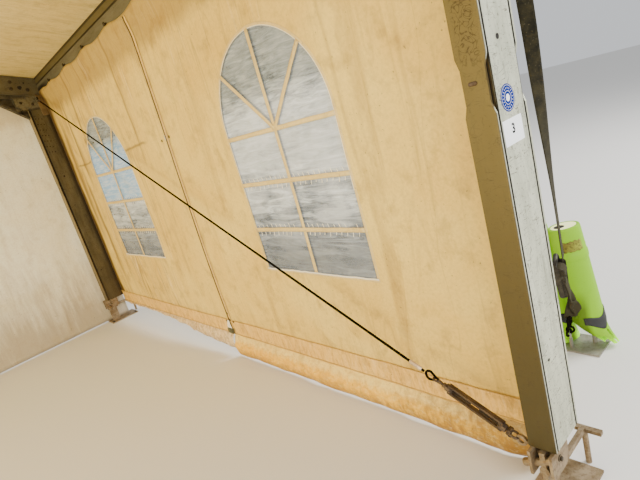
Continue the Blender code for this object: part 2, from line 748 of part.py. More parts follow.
def link_step():
    """Distance between the middles of two eyes that hang in each other,
    square to each other, so that their bars just touch."""
    inner = (EYE_RING - EYE_BAR / 2) * cos(pi / EYE_SIDES)
    return 2 * sqrt(inner ** 2 - (EYE_BAR / 2) ** 2) - FIT


def flat_ring(name, frame, along, flat):
    """A ring around the line, upright or lying across the upright plane."""
    inner = EYE_RING - EYE_BAR / 2
    loops = [circle(along, 0, EYE_RING + EYE_BAR / 2, EYE_SIDES), circle(along, 0, inner, EYE_SIDES)]
    half = EYE_BAR / 2
    if flat:
        return sweep(name, loops, lambda u, v: frame @ Vector((u, v, -half)),
                     lambda u, v: frame @ Vector((u, v, half)))
    return sweep(name, loops, lambda u, v: frame @ Vector((u, -half, v)),
                 lambda u, v: frame @ Vector((u, half, v)))


def buckle_start(length):
    """Where the turnbuckle's upper eye sits, along the line from the top."""
    foot_ring = length - link_step()
    return foot_ring - 2 * BUCKLE_ROD - BUCKLE_BODY - 2 * EYE_RING


def brace_wire(finish):
    top, low = brace_ends()
    frame = line_frame(top, low)
    length = (low - top).length
    first = link_step()
    last = buckle_start(length) - link_step()
    wire = rod("brace_wire", frame @ Vector((first + EYE_RING, 0, 0)),
               frame @ Vector((last - EYE_RING, 0, 0)), WIRE_RADIUS, 8, finish)
    return join(wire, flat_ring("upper_loop", frame, first, True), flat_ring("lower_loop", frame, last, True))


def turnbuckle(finish):
    top, low = brace_ends()
    frame = line_frame(top, low)
    length = (low - top).length
    upper_eye = buckle_start(length)
    body0 = upper_eye + EYE_RING + BUCKLE_ROD
    body1 = body0 + BUCKLE_BODY
    lower_eye = length - link_step()
    half = BUCKLE_THICK / 2
    body_outline = [(body0, -BUCKLE_SLOT_HALF), (body0 + BUCKLE_BOSS / 2, -BUCKLE_HALF),
                    (body1 - BUCKLE_BOSS / 2, -BUCKLE_HALF), (body1, -BUCKLE_SLOT_HALF),
                    (body1, BUCKLE_SLOT_HALF), (body1 - BUCKLE_BOSS / 2, BUCKLE_HALF),
                    (body0 + BUCKLE_BOSS / 2, BUCKLE_HALF), (body0, BUCKLE_SLOT_HALF)]
    slot = rectangle(body0 + BUCKLE_BOSS, body1 - BUCKLE_BOSS, -BUCKLE_SLOT_HALF, BUCKLE_SLOT_HALF)
    body = sweep("turnbuckle", [body_outline, slot], lambda u, v: frame @ Vector((u, -half, v)),
                 lambda u, v: frame @ Vector((u, half, v)), finish)
    third = (BUCKLE_BODY - 2 * BUCKLE_BOSS) / 3
    upper_rod = rod("upper_rod", frame @ Vector((upper_eye + EYE_RING, 0, 0)),
                    frame @ Vector((body0 + BUCKLE_BOSS + third, 0, 0)), BUCKLE_ROD_RADIUS, 8)
    lower_rod = rod("lower_rod", frame @ Vector((body1 - BUCKLE_BOSS - third, 0, 0)),
                    frame @ Vector((lower_eye - EYE_RING, 0, 0)), BUCKLE_ROD_RADIUS, 8)
    return join(body, upper_rod, lower_rod, flat_ring("upper_eye", frame, upper_eye, False),
                flat_ring("lower_eye", frame, lower_eye, True))


# Guy strap and anchor, at the front right

def guy_line():
    top = guy_eye_centre()
    low = Vector((ANCHOR_X, ANCHOR_Y, ANCHOR_EYE_Z))
    return top, low


def guy_strap(finish):
    """Webbing that twists on its way down, a ratchet and a hook below."""
    top, low = guy_line()
    frame = line_frame(top, low)
    length = (low - top).length
    begin = link_step()
    end = length - link_step()
    ratchet0 = length * RATCHET_PLACE - RATCHET_LENGTH / 2
    ratchet1 = ratchet0 + RATCHET_LENGTH
    span = ratchet0 + RATCHET_LENGTH / 4 - begin - EYE_RING
    points = []
    faces = []
    for step in range(STRAP_STEPS + 1):
        share = step / STRAP_STEPS
        turn = STRAP_TWIST * share
        wide = Vector((0, cos(turn), sin(turn))) * (STRAP_WIDTH / 2)
        thick = Vector((0, -sin(turn), cos(turn))) * (STRAP_THICK / 2)
        centre = Vector((begin + EYE_RING + span * share, 0, 0))
        ring = [centre + wide + thick, centre - wide + thick, centre - wide - thick, centre + wide - thick]
        points += [frame @ point for point in ring]
        if step:
            base = 4 * step
            faces += [(base - 4 + i, base - 4 + (i + 1) % 4, base + (i + 1) % 4, base + i) for i in range(4)]
    faces += [(3, 2, 1, 0), tuple(range(4 * STRAP_STEPS, 4 * STRAP_STEPS + 4))]
    webbing = new_object("guy_strap", points, faces, finish)
    wide = RATCHET_WIDTH / 2
    thick = RATCHET_THICK / 2
    turned = frame @ Matrix.Rotation(STRAP_TWIST, 4, "X")
    ratchet = sweep("ratchet", [rectangle(-wide, wide, -thick, thick)],
                    lambda u, v: turned @ Vector((ratchet0, u, v)),
                    lambda u, v: turned @ Vector((ratchet1, u, v)))
    hook_rod = rod("hook_rod", frame @ Vector((ratchet1 - EYE_RING, 0, 0)),
                   frame @ Vector((end - EYE_RING, 0, 0)), EYE_BAR / 2, 8)
    return join(webbing, ratchet, hook_rod, flat_ring("upper_loop", frame, begin, True),
                flat_ring("lower_loop", frame, end, True))


def cover_axis(y):
    return Vector((COVER_X, y, ANCHOR_PLATE_THICK + FIT)), Vector((COVER_X, y + COVER_LEAN, COVER_HEIGHT))


def ground_anchor(finish):
    """Plate on the ground, an eye for the hook and the heads of two stakes."""
    half_length = COVER_STEP + COVER_RADIUS - ANCHOR_PLATE_EDGE
    plate = box("ground_anchor", (ANCHOR_X - ANCHOR_PLATE_IN, COVER_X + COVER_RADIUS - ANCHOR_PLATE_EDGE),
                (COVER_MIDDLE - half_length, COVER_MIDDLE + half_length),
                (0, ANCHOR_PLATE_THICK), finish)
    top, low = guy_line()
    pieces = [flat_ring("anchor_eye", line_frame(top, low), (low - top).length, False),
              box("anchor_shank", (low.x - EYE_BAR, low.x + EYE_BAR),
                  (low.y - EYE_BAR / 2 + FIT, low.y + EYE_BAR / 2 - FIT),
                  (ANCHOR_PLATE_THICK / 2, low.z - EYE_RING))]
    for y in COVER_Y:
        pieces.append(rod("stake", (COVER_X, y, ANCHOR_PLATE_THICK / 2),
                          (COVER_X, y, COVER_HEIGHT / 4), STAKE_RADIUS))
    return join(plate, *pieces)


def cover_tube(y, finish):
    """An upright tube, open below, with a lid that has a round hole."""
    low, high = cover_axis(y)
    inner = COVER_RADIUS - COVER_WALL
    lid = 1 - COVER_WALL / (high.z - low.z)
    rings = [(COVER_RADIUS, 0), (COVER_RADIUS, 1), (COVER_TOP_HOLE, 1), (COVER_TOP_HOLE, lid),
             (inner, lid), (inner, 0)]
    points = []
    faces = []
    for index, (radius, share) in enumerate(rings):
        centre = low.lerp(high, share)
        points += [centre + Vector((u, v, 0)) for u, v in circle(0, 0, radius, COVER_SIDES)]
        here = index * COVER_SIDES
        there = (index + 1) % len(rings) * COVER_SIDES
        for side in range(COVER_SIDES):
            turned = (side + 1) % COVER_SIDES
            faces.append((here + side, here + turned, there + turned, there + side))
    return new_object("stake_covers", points, faces, finish)


def stake_covers(finish):
    """Two tubes over the stakes, side by side and joined where they touch."""
    covers = [cover_tube(y, finish) for y in COVER_Y]
    gap = COVER_STEP - COVER_RADIUS + COVER_WALL / 2
    low, high = cover_axis(COVER_MIDDLE)
    start, end = COVER_SEAM
    seam = sweep("seam", [rectangle(-COVER_RADIUS / 4, COVER_RADIUS / 4, -gap, gap)],
                 lambda u, v: low.lerp(high, start) + Vector((u, v, 0)),
                 lambda u, v: low.lerp(high, end) + Vector((u, v, 0)))
    return join(covers[0], seam, covers[1])


def build():
    start_clean()
    aluminium = material("mill aluminium", (0.52, 0.52, 0.47), 0.45, 1.0)
    steel = material("galvanised steel", (0.32, 0.30, 0.26), 0.55, 1.0)
    canvas = material("coated tent fabric", (0.68, 0.55, 0.34), 0.55)
    clear = material("clear window film", (0.85, 0.88, 0.90), 0.12, 0.0, 0.3)
    webbing = material("olive webbing", (0.07, 0.06, 0.04), 0.85)
    neon = material("bright plastic tube", (0.42, 0.80, 0.04), 0.45)

    at_corners(leg(aluminium), "leg")
    at_corners(rafter(aluminium), "rafter")
    at_corners(eave_bracket(steel), "eave_bracket")
    at_corners(foot(steel), "foot")
    at_ends(ridge_bracket(steel), "ridge_bracket")
    at_sides(eave_purlin(aluminium), "eave_purlin")
    at_sides(mid_purlin(aluminium), "mid_purlin")
    ridge_purlin(aluminium)

    roof_sheet(canvas)
    at_corners(wall_panel(canvas), "wall_panel")
    at_corners(window_film(clear), "window_film")
    rear_y = FRAME_BACK + FIT
    edge = HALF_SPAN - FIT
    gable_panel("rear_right_gable_panel", POST_PLACE + FIT, edge, WALL_BOTTOM, rear_y, canvas)
    gable_panel("rear_middle_gable_panel", -POST_PLACE, POST_PLACE, WALL_BOTTOM, rear_y, canvas)
    gable_panel("rear_left_gable_panel", -edge, -POST_PLACE - FIT, WALL_BOTTOM, rear_y, canvas)
    gable_panel("front_gable_panel", -edge, edge, LEG_TOP, -rear_y - SHEET, canvas)
    gable_post("rear_right_gable_post", POST_PLACE, aluminium)
    gable_post("rear_left_gable_post", -POST_PLACE, aluminium)

    at_sides(brace_wire(steel), "brace_wire")
    at_sides(turnbuckle(steel), "turnbuckle")
    at_corners(guy_strap(webbing), "guy_strap")
    at_corners(ground_anchor(steel), "ground_anchor")
    at_corners(stake_covers(neon), "stake_covers")


build()
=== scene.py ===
from math import cos, exp, hypot, pi, radians, sin, sqrt, tan

import bmesh
import bpy
from mathutils import Matrix, Vector, noise


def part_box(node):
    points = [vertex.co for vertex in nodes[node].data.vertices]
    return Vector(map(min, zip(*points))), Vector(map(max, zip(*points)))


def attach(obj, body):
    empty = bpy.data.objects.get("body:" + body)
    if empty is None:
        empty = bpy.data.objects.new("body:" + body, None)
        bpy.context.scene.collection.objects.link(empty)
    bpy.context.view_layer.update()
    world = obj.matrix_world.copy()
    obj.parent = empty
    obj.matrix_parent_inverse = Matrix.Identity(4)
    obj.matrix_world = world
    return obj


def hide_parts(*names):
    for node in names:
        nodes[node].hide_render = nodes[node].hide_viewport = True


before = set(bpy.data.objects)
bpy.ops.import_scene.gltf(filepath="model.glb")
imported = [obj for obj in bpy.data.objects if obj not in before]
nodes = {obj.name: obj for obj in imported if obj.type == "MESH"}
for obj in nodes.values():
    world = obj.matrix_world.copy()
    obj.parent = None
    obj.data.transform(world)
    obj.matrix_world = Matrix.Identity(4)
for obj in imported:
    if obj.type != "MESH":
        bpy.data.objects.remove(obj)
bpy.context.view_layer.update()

# Where the frame stands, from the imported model. The right side is X > 0 and the open front is Y < 0.
LEG_LOW, LEG_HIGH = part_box("front_right_leg")
FRONT_FACE = LEG_LOW.y                          # the face of the front legs that looks out of the tent
REAR_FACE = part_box("rear_right_leg")[0].y       # the same face of the rear legs, looking into the tent
PURLIN_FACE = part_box("right_eave_purlin")[0].x  # the face that the wall's upper edge laps
PITCH = radians(15.0)
SHEET = 0.002                                   # thickness of the coated fabric

# The side wall: hooked to the eave purlin, laced at the middle of the bay.
WALL_X = 4.985
WALL_END = 2.446
WALL_FOOT = 0.190
HEM_FOOT, HEM_TOP = 0.188, 0.314
SKIRT_FOOT, SKIRT_TOP = 0.0095, 0.198
HOOK_STEP = 0.560
HOOK_FIRST = 0.275
HOOK_HEIGHT = 2.600
SAG_HEIGHT = 2.576                              # of the wall's edge halfway between two hooks
WINDOW_MIDDLE = 1.250
WINDOW_HALF = 0.461
WINDOW_SILL = 0.803
WINDOW_SPRING = 1.655
WINDOW_HUB = 1.620
WINDOW_BARS = (1.063, 1.344, WINDOW_HUB)
BAR_WIDTH = 0.024
FOLD_STEP = 0.042                               # between the small folds of a window's film

MIRROR = {"right": Matrix.Identity(4), "left": Matrix.Diagonal((-1, 1, 1, 1))}
CORNERS = {"front_right": Matrix.Identity(4), "front_left": Matrix.Diagonal((-1, 1, 1, 1)),
           "rear_right": Matrix.Diagonal((1, -1, 1, 1)), "rear_left": Matrix.Diagonal((-1, -1, 1, 1))}


# ---------------------------------------------------------------- working by hand

def put_down():
    """Leaves edit mode and selects nothing."""
    if bpy.context.object and bpy.context.object.mode != "OBJECT":
        bpy.ops.object.mode_set(mode="OBJECT")
    bpy.ops.object.select_all(action="DESELECT")


def take_up(piece):
    """Makes one piece the only one selected."""
    put_down()
    piece.select_set(True)
    bpy.context.view_layer.objects.active = piece
    return piece


def choose(piece, kind, test):
    """In edit mode, selects only the verts, edges or faces whose middle passes the test."""
    take_up(piece)
    bpy.ops.object.mode_set(mode="EDIT")
    bpy.ops.mesh.select_mode(type={"verts": "VERT", "edges": "EDGE", "faces": "FACE"}[kind])
    bpy.ops.mesh.select_all(action="DESELECT")
    shape = bmesh.from_edit_mesh(piece.data)
    for item in getattr(shape, kind):
        middle = item.co if kind == "verts" else sum((v.co for v in item.verts), Vector()) / len(item.verts)
        item.select_set(bool(test(middle) if kind != "faces" else test(middle, item.normal)))
    shape.select_flush_mode()
    bmesh.update_edit_mesh(piece.data)


def reshape(piece, test, grow=(1, 1, 1), by=(0, 0, 0), height=0.0):
    """Scales the corners that pass the test about a point on the Z axis, then moves them."""
    choose(piece, "verts", test)
    bpy.ops.transform.resize(value=grow, center_override=(0, 0, height))
    bpy.ops.transform.translate(value=by)
    bpy.ops.object.mode_set(mode="OBJECT")
    return piece


def inset(piece, width, rise):
    """Insets the top face and raises or sinks it."""
    choose(piece, "faces", lambda co, normal: normal.z > 0.9)
    bpy.ops.mesh.inset(thickness=width)
    bpy.ops.transform.translate(value=(0, 0, rise))
    bpy.ops.object.mode_set(mode="OBJECT")
    return piece


def choose_open_edges(piece):
    """In edit mode, selects the edges round openings."""
    choose(piece, "edges", lambda co: False)
    bpy.ops.mesh.select_non_manifold()


def open_through(piece, way, width, grow=(1, 1, 1), height=0.0):
    """Cuts through the two faces that look along a way, and leaves a frame of this width."""
    choose(piece, "faces", lambda co, normal: abs(normal.dot(Vector(way))) > 0.9)
    bpy.ops.mesh.inset(thickness=width)
    bpy.ops.transform.resize(value=grow, center_override=(0, 0, height))
    bpy.ops.mesh.delete(type="ONLY_FACE")
    choose_open_edges(piece)
    bpy.ops.mesh.bridge_edge_loops()
    bpy.ops.object.mode_set(mode="OBJECT")
    return face_out(piece)


def modify(piece, kind, **settings):
    """Adds one modifier and applies it."""
    take_up(piece)
    modifier = piece.modifiers.new(kind.lower(), kind)
    for key, value in settings.items():
        setattr(modifier, key, value)
    bpy.ops.object.modifier_apply(modifier=modifier.name)
    return piece


def soften(piece, width, segments=2):
    """Rounds the hard edges."""
    modify(piece, "BEVEL", width=width, segments=segments, limit_method="ANGLE", angle_limit=radians(35))
    return smooth_over(piece)


def smooth_over(piece, angle=40):
    """Shades smooth all but the edges sharper than the angle."""
    take_up(piece)
    bpy.ops.object.shade_smooth_by_angle(angle=radians(angle))
    return piece


def face_out(piece):
    """Merges doubles and turns every face outwards."""
    take_up(piece)
    bpy.ops.object.mode_set(mode="EDIT")
    bpy.ops.mesh.select_all(action="SELECT")
    bpy.ops.mesh.remove_doubles(threshold=0.00001)
    bpy.ops.mesh.normals_make_consistent(inside=False)
    bpy.ops.object.mode_set(mode="OBJECT")
    return piece


def place(piece, matrix):
    """Puts a finished piece in its place, and the place into its mesh."""
    take_up(piece)
    piece.matrix_world = matrix @ piece.matrix_world
    bpy.ops.object.transform_apply(location=True, rotation=True, scale=True)
    return piece


def moved(piece, at=(0, 0, 0), turn=0.0, about="Z"):
    """Puts a finished piece at a point, after a turn about one axis."""
    return place(piece, Matrix.Translation(at) @ Matrix.Rotation(turn, 4, about))


def join(name, *pieces):
    """Joins pieces under one name, or only names a single one."""
    put_down()
    for piece in pieces:
        piece.select_set(True)
    bpy.context.view_layer.objects.active = pieces[0]
    if len(pieces) > 1:
        bpy.ops.object.join()
    pieces[0].name = pieces[0].data.name = name
    return pieces[0]


def twin(piece, name, matrix):
    """A copy with its own mesh, moved or mirrored."""
    other = piece.copy()
    other.data = piece.data.copy()
    other.name = other.data.name = name
    bpy.context.scene.collection.objects.link(other)
    other.data.transform(matrix)
    if matrix.to_3x3().determinant() < 0:
        other.data.flip_normals()
    return other


def spread(pattern, name, places):
    """Copies of one small piece at many places, joined."""
    made = [twin(pattern, name, matrix) for matrix in places]
    bpy.data.objects.remove(pattern)
    return join(name, *made)


def axes(point, along, across):
    """The place of a piece whose own Z runs along, and whose own X leans towards across."""
    z = Vector(along).normalized()
    x = Vector(across)
    x = (x - x.dot(z) * z).normalized()
    matrix = Matrix((x, z.cross(x), z)).transposed().to_4x4()
    matrix.translation = Vector(point)
    return matrix


def begin(operator, **settings):
    """A primitive to start from, with its place in its mesh."""
    put_down()
    operator(**settings)
    bpy.ops.object.transform_apply(location=True, rotation=True, scale=True)
    return bpy.context.object


def in_scene(name, data):
    """A new object for a mesh, a curve, a lamp or the camera."""
    thing = bpy.data.objects.new(name, data)
    bpy.context.scene.collection.objects.link(thing)
    return thing


def block(size, middle=(0, 0, 0)):
    """A box of this size."""
    return place(begin(bpy.ops.mesh.primitive_cube_add, size=1),
                 Matrix.Translation(middle) @ Matrix.Diagonal((*size, 1)))


def disc(radius, low, high, sides):
    """A cylinder standing between two heights."""
    return begin(bpy.ops.mesh.primitive_cylinder_add, vertices=sides, radius=radius, depth=high - low,
                 location=(0, 0, (low + high) / 2))


def turned(profile, sides=32, close=(True, True)):
    """A round piece, drawn up ring by ring through (radius, height)."""
    radius, height = profile[0]
    piece = begin(bpy.ops.mesh.primitive_circle_add, vertices=sides, radius=radius, location=(0, 0, height))
    bpy.ops.object.mode_set(mode="EDIT")
    bpy.ops.mesh.select_all(action="SELECT")
    if close[0]:
        bpy.ops.mesh.edge_face_add()
    for next_radius, next_height in profile[1:]:
        bpy.ops.mesh.extrude_region_move(TRANSFORM_OT_translate={"value": (0, 0, next_height - height)})
        share = next_radius / radius
        bpy.ops.transform.resize(value=(share, share, 1), center_override=(0, 0, next_height))
        radius, height = next_radius, next_height
    if not close[1]:
        bpy.ops.mesh.delete(type="ONLY_FACE")
    bpy.ops.object.mode_set(mode="OBJECT")
    return face_out(piece)


def screwed(radius, crest, lobes, pitch, length, steps_a_turn):
    """A rod drawn along its own Z with a twist: strands of a wire rope, or a thread with one lobe."""
    sides = max(12, 2 * lobes)
    piece = begin(bpy.ops.mesh.primitive_circle_add, vertices=sides, radius=radius)

    def on_crest(co):
        return round(Vector((co.x, co.y)).angle_signed(Vector((0, 1))) / (2 * pi / sides)) % 2

    if lobes > 1:
        reshape(piece, on_crest, (crest / radius, crest / radius, 1))
    else:
        reshape(piece, lambda co: True, by=(crest - radius, 0, 0))
    turns = length / pitch
    steps = int(turns * steps_a_turn)
    modify(piece, "SCREW", axis="Z", angle=2 * pi * turns, screw_offset=length, steps=steps,
           render_steps=steps)
    choose_open_edges(piece)
    bpy.ops.mesh.fill_holes(sides=0)
    bpy.ops.object.mode_set(mode="OBJECT")
    return smooth_over(face_out(piece), 60)


def ring(large, small, sides=20, around=10, stretch=0.0, pinch=1.0):
    """An eye in the XZ plane. Stretch draws its lower end down, and pinch narrows that end to a teardrop."""
    piece = begin(bpy.ops.mesh.primitive_torus_add, major_segments=sides, minor_segments=around,
                  major_radius=large, minor_radius=small, rotation=(pi / 2, 0, 0))
    for share in (0.15, 0.5, 0.8) if stretch else ():
        reshape(piece, lambda co: co.z < -large * share, (pinch, 1, 1), (0, 0, -stretch / 3))
    return smooth_over(piece, 60)


def bar(start, end, radius, sides=12, rounding=0.0015):
    """A straight round bar between two points."""
    start, end = Vector(start), Vector(end)
    half = (end - start).length / 2
    piece = soften(disc(radius, -half, half, sides), rounding)
    side = (0, 0, 1) if abs((end - start).normalized().z) < 0.9 else (1, 0, 0)
    return place(piece, axes((start + end) / 2, end - start, side))


# ---------------------------------------------------------------- cloth

def ease(a, b, x):
    """0 before a, 1 after b, smooth between."""
    t = min(1.0, max(0.0, (x - a) / (b - a)))
    return t * t * (3 - 2 * t)


def spaced(start, end, count):
    """Even steps from start to end."""
    return [start + (end - start) * i / count for i in range(count + 1)]


def cloth(name, columns, rows, point, keep=None, settle=None, thickness=SHEET):
    """A sheet woven as a grid. point(u, v) gives each corner, keep(middle) says which squares stay,
    and settle(vert) moves the corners along a cut edge."""
    shape = bmesh.new()
    corner = [[shape.verts.new(point(i / columns, j / rows)) for j in range(rows + 1)]
              for i in range(columns + 1)]
    for i in range(columns):
        for j in range(rows):
            quad = (corner[i][j], corner[i + 1][j], corner[i + 1][j + 1], corner[i][j + 1])
            if keep is None or keep((quad[0].co + quad[2].co) / 2):
                shape.faces.new(quad)
    bmesh.ops.delete(shape, geom=[v for v in shape.verts if not v.link_faces], context="VERTS")
    if settle:
        for vert in [v for v in shape.verts if v.is_boundary]:
            settle(vert)
    mesh = bpy.data.meshes.new(name)
    shape.to_mesh(mesh)
    shape.free()
    mesh.shade_smooth()
    return modify(in_scene(name, mesh), "SOLIDIFY", thickness=thickness, offset=0.0)


def band(name, line, width, side, lift, thickness=0.0015):
    """A strip along a line of points. side(point, forward) gives its widthwise direction,
    and lift(point) the place of a point on the cloth below."""
    points = [Vector(p) for p in line]
    closed = (points[0] - points[-1]).length < 1e-6

    def forward(i):
        if closed and i in (0, len(points) - 1):
            return (points[1] - points[-2]).normalized()
        return (points[min(i + 1, len(points) - 1)] - points[max(i - 1, 0)]).normalized()

    def point(u, v):
        i = round(v * (len(points) - 1))
        return lift(points[i] + side(points[i], forward(i)) * (u - 0.5) * width)

    return cloth(name, 3, len(points) - 1, point, thickness=thickness)


def keep_piece(piece, material, replaced=None):
    """Gives a finished piece its finish, puts it under the root body, and hides the node that it stands for.
    """
    piece.data.materials.clear()
    piece.data.materials.append(material)
    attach(piece, "root")
    if replaced:
        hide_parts(replaced)
    return piece


def on_both_sides(piece, stem, material, replaced=None):
    """The right side's piece and its mirror image on the left. replaced is the stem of the nodes that they
    stand for."""
    left = twin(piece, f"left_{stem}", MIRROR["left"])
    for side, copy in (("right", join(f"right_{stem}", piece)), ("left", left)):
        keep_piece(copy, material, replaced and f"{side}_{replaced}")


def at_four_corners(piece, stem, material, replaced=None):
    """The front right corner's piece and its mirror images. replaced is the stem of the nodes that they
    stand for."""
    made = [piece] + [twin(piece, f"{c}_{stem}", CORNERS[c]) for c in list(CORNERS)[1:]]
    join(f"front_right_{stem}", piece)
    for corner, copy in zip(CORNERS, made):
        keep_piece(copy, material, replaced and f"{corner}_{replaced}")


# ---------------------------------------------------------------- finishes

def hex_colour(code):
    """An sRGB hex value as the linear colour that a shader takes."""
    parts = [int(code[i:i + 2], 16) / 255 for i in (0, 2, 4)]
    return tuple(p / 12.92 if p <= 0.04045 else ((p + 0.055) / 1.055) ** 2.4 for p in parts) + (1.0,)


def add(tree, kind, inputs=None, **settings):
    """Adds one node, with its settings, and with its inputs as values, sockets or nodes' first outputs."""
    node = tree.nodes.new("ShaderNode" + kind)
    for key, value in settings.items():
        setattr(node, key, value)
    for key, value in (inputs or {}).items():
        if isinstance(value, bpy.types.Node):
            value = value.outputs[0]
        if isinstance(value, bpy.types.NodeSocket):
            tree.links.new(value, node.inputs[key])
        else:
            node.inputs[key].default_value = value
    return node


def new_finish(name, mirrored=False):
    """A new finish, the place in the tent and its axes. Mirrored ones are the same on both sides and at both
    ends."""
    finish = bpy.data.materials.new(name)
    finish.use_nodes = True
    tree = finish.node_tree
    tree.nodes.clear()
    place = add(tree, "TexCoord").outputs["Object"]
    spot = add(tree, "VectorMath", {0: place}, operation="ABSOLUTE") if mirrored else place
    return finish, tree, place, add(tree, "SeparateXYZ", {"Vector": spot})


def layer(tree, under, over, value, low=0.0, high=1.0, most=1.0, within=None):
    """Lays one colour over another, up to most of it, as a value goes from low to high. Colours may be hex
    codes. within is a share that the layer is multiplied by, such as a zone."""
    share = add(tree, "MapRange", {"Value": value, "From Min": low, "From Max": high, "To Max": most})
    if within is not None:
        share = add(tree, "Math", {0: share, 1: within}, operation="MULTIPLY")
    under, over = [hex_colour(c) if isinstance(c, str) else c for c in (under, over)]
    return add(tree, "Mix", {0: share, 6: under, 7: over}, data_type="RGBA").outputs[2]


def off_middle(tree, value, middle=0.5):
    """How far a value is from its middle. Where it is near 0 is a thin line."""
    away = add(tree, "Math", {0: value, 1: middle}, operation="SUBTRACT")
    return add(tree, "Math", {0: away}, operation="ABSOLUTE")


def in_zone(tree, axis, ramps):
    """The product of ramps, each an axis with the places where it starts and is full."""
    total = 1.0
    for where, start, end in ramps:
        ramp = add(tree, "MapRange", {"Value": axis.outputs[where], "From Min": start, "From Max": end})
        total = add(tree, "Math", {0: total, 1: ramp}, operation="MULTIPLY")
    return total


def coated_fabric(name, tone, cloudy, stain, streak, mottle=0.5, bands=(), dirt=0.35, glow=0.15, rub_and_crinkle_light=None,
                  folds=(), creases=()):
    """PVC coated polyester, calendered and welded, many seasons old: a soft even sheen, cloudy yellowing,
    long faint creases drawn darker, mildew specks, and daylight that glows through it.
    streak stretches the creases along one axis. Each band is (axis, from, to, hex, share): a zone where
    the colour goes over to another, by place. rub_and_crinkle_light is (light, dark, stretch, share): short
    streaks of rubbed wear, with the painted highlight and painted shade of crinkles. Each entry of folds is
    (share, ramps): where sharp folds run along the fall of the cloth, drawn as painted shade with a painted
    highlight beside it. Each entry of creases is (hex, share, ramps): the painted shade of one soft fold or
    fold line at its place, that wanders a little."""
    finish, tree, place, axis = new_finish(name)
    # yellowing in clouds of about half a metre
    cloud = add(tree, "TexNoise",
                {"Vector": place, "Scale": 2.1, "Detail": 5.0, "Roughness": 0.6, "Distortion": 0.4})
    colour = layer(tree, tone, cloudy, cloud, 0.38, 0.66, mottle)
    # creases 60 to 100 mm apart, drawn out along the fall of the cloth, some of them thin dark lines
    along = add(tree, "Mapping", {"Vector": place, "Scale": streak})
    crease = add(tree, "TexNoise",
                 {"Vector": along, "Scale": 1.0, "Detail": 6.0, "Roughness": 0.62, "Distortion": 0.8})
    colour = layer(tree, colour, stain, crease, 0.53, 0.72, dirt)
    fold = add(tree, "TexNoise", {"Vector": along, "Scale": 0.55, "Detail": 2.0, "Distortion": 0.6})
    colour = layer(tree, colour, stain, off_middle(tree, fold), 0.006, 0.0, dirt * 0.5)
    for share, ramps in folds:
        # long folds 100 to 300 mm apart that come and go, painted shade on one side and a painted highlight
        # on the other
        fall = add(tree, "Mapping", {"Vector": place, "Scale": (streak[0], streak[1], streak[2] * 0.45)})
        deep = add(tree, "TexNoise", {"Vector": fall, "Scale": 1.0, "Detail": 1.5, "Distortion": 0.9})
        come = add(tree, "MapRange", {"Value": cloud, "From Min": 0.40, "From Max": 0.52})
        here = add(tree, "Math", {0: come, 1: in_zone(tree, axis, ramps)}, operation="MULTIPLY")
        for middle, wide, code in ((0.500, 0.020, "80602e"), (0.528, 0.016, "fbe6b0")):
            colour = layer(tree, colour, code, off_middle(tree, deep, middle), wide, 0.0, share, here)
    for where, start, end, code, share in bands:
        ragged = add(tree, "TexNoise", {"Vector": along, "Scale": 2.0, "Detail": 5.0, "Roughness": 0.65})
        spot = add(tree, "Math", {0: ragged, 1: 0.5}, operation="SUBTRACT")
        line = add(tree, "Math", {0: spot, 1: abs(end - start) * 2.2, 2: axis.outputs[where]},
                   operation="MULTIPLY_ADD")
        colour = layer(tree, colour, code, line, start, end, share)
    # painted shade of single soft folds and fold lines, each at its place
    if creases:
        wander = add(tree, "TexNoise", {"Vector": place, "Scale": 2.6, "Detail": 2.0, "Roughness": 0.5})
        shifted = add(tree, "VectorMath", {0: wander.outputs["Color"], 1: (0.10, 0.10, 0.10), 2: place},
                      operation="MULTIPLY_ADD")
        wavy = add(tree, "SeparateXYZ", {"Vector": shifted})
        for code, share, ramps in creases:
            colour = layer(tree, colour, code, in_zone(tree, wavy, ramps), most=share)
    # short streaks of rubbed wear, and the painted highlight and painted shade of crinkles
    if rub_and_crinkle_light:
        light, dark, stretch, share = rub_and_crinkle_light
        short = add(tree, "Mapping", {"Vector": place, "Scale": stretch})
        wear_and_shading = add(tree, "TexNoise", {"Vector": short, "Scale": 1.0, "Detail": 6.0, "Roughness": 0.7,
                                      "Distortion": 0.5})
        colour = layer(tree, colour, light, wear_and_shading, 0.50, 0.66, share)
        colour = layer(tree, colour, dark, wear_and_shading, 0.49, 0.36, share)
    # blotches of 50 to 100 mm, grime in the grain of the coating, and mildew specks of 4 to 8 mm
    blotch = add(tree, "TexNoise", {"Vector": place, "Scale": 9.0, "Detail": 5.0, "Roughness": 0.62})
    colour = layer(tree, colour, stain, blotch, 0.52, 0.72, 0.30 * dirt / 0.35)
    grain = add(tree, "TexNoise", {"Vector": place, "Scale": 70.0, "Detail": 5.0, "Roughness": 0.7})
    colour = layer(tree, colour, stain, grain, 0.42, 0.70, 0.20)
    speck = add(tree, "TexNoise", {"Vector": place, "Scale": 62.0, "Detail": 2.0, "Roughness": 0.5})
    colour = layer(tree, colour, "5e4628", speck, 0.71, 0.76, 0.60)
    height = add(tree, "Math", {0: crease, 1: 4.0, 2: grain}, operation="MULTIPLY_ADD")
    bump = add(tree, "Bump", {"Height": height, "Strength": 0.30, "Distance": 0.002})
    sheen = add(tree, "MapRange", {"Value": cloud, "To Min": 0.62, "To Max": 0.46})
    shader = add(tree, "BsdfPrincipled",
                 {"Base Color": colour, "Roughness": sheen, "Normal": bump, "IOR": 1.5})
    lit = add(tree, "BsdfTranslucent", {"Color": colour, "Normal": bump})
    both = add(tree, "MixShader", {0: glow, 1: shader, 2: lit})
    add(tree, "OutputMaterial", {"Surface": both})
    return finish


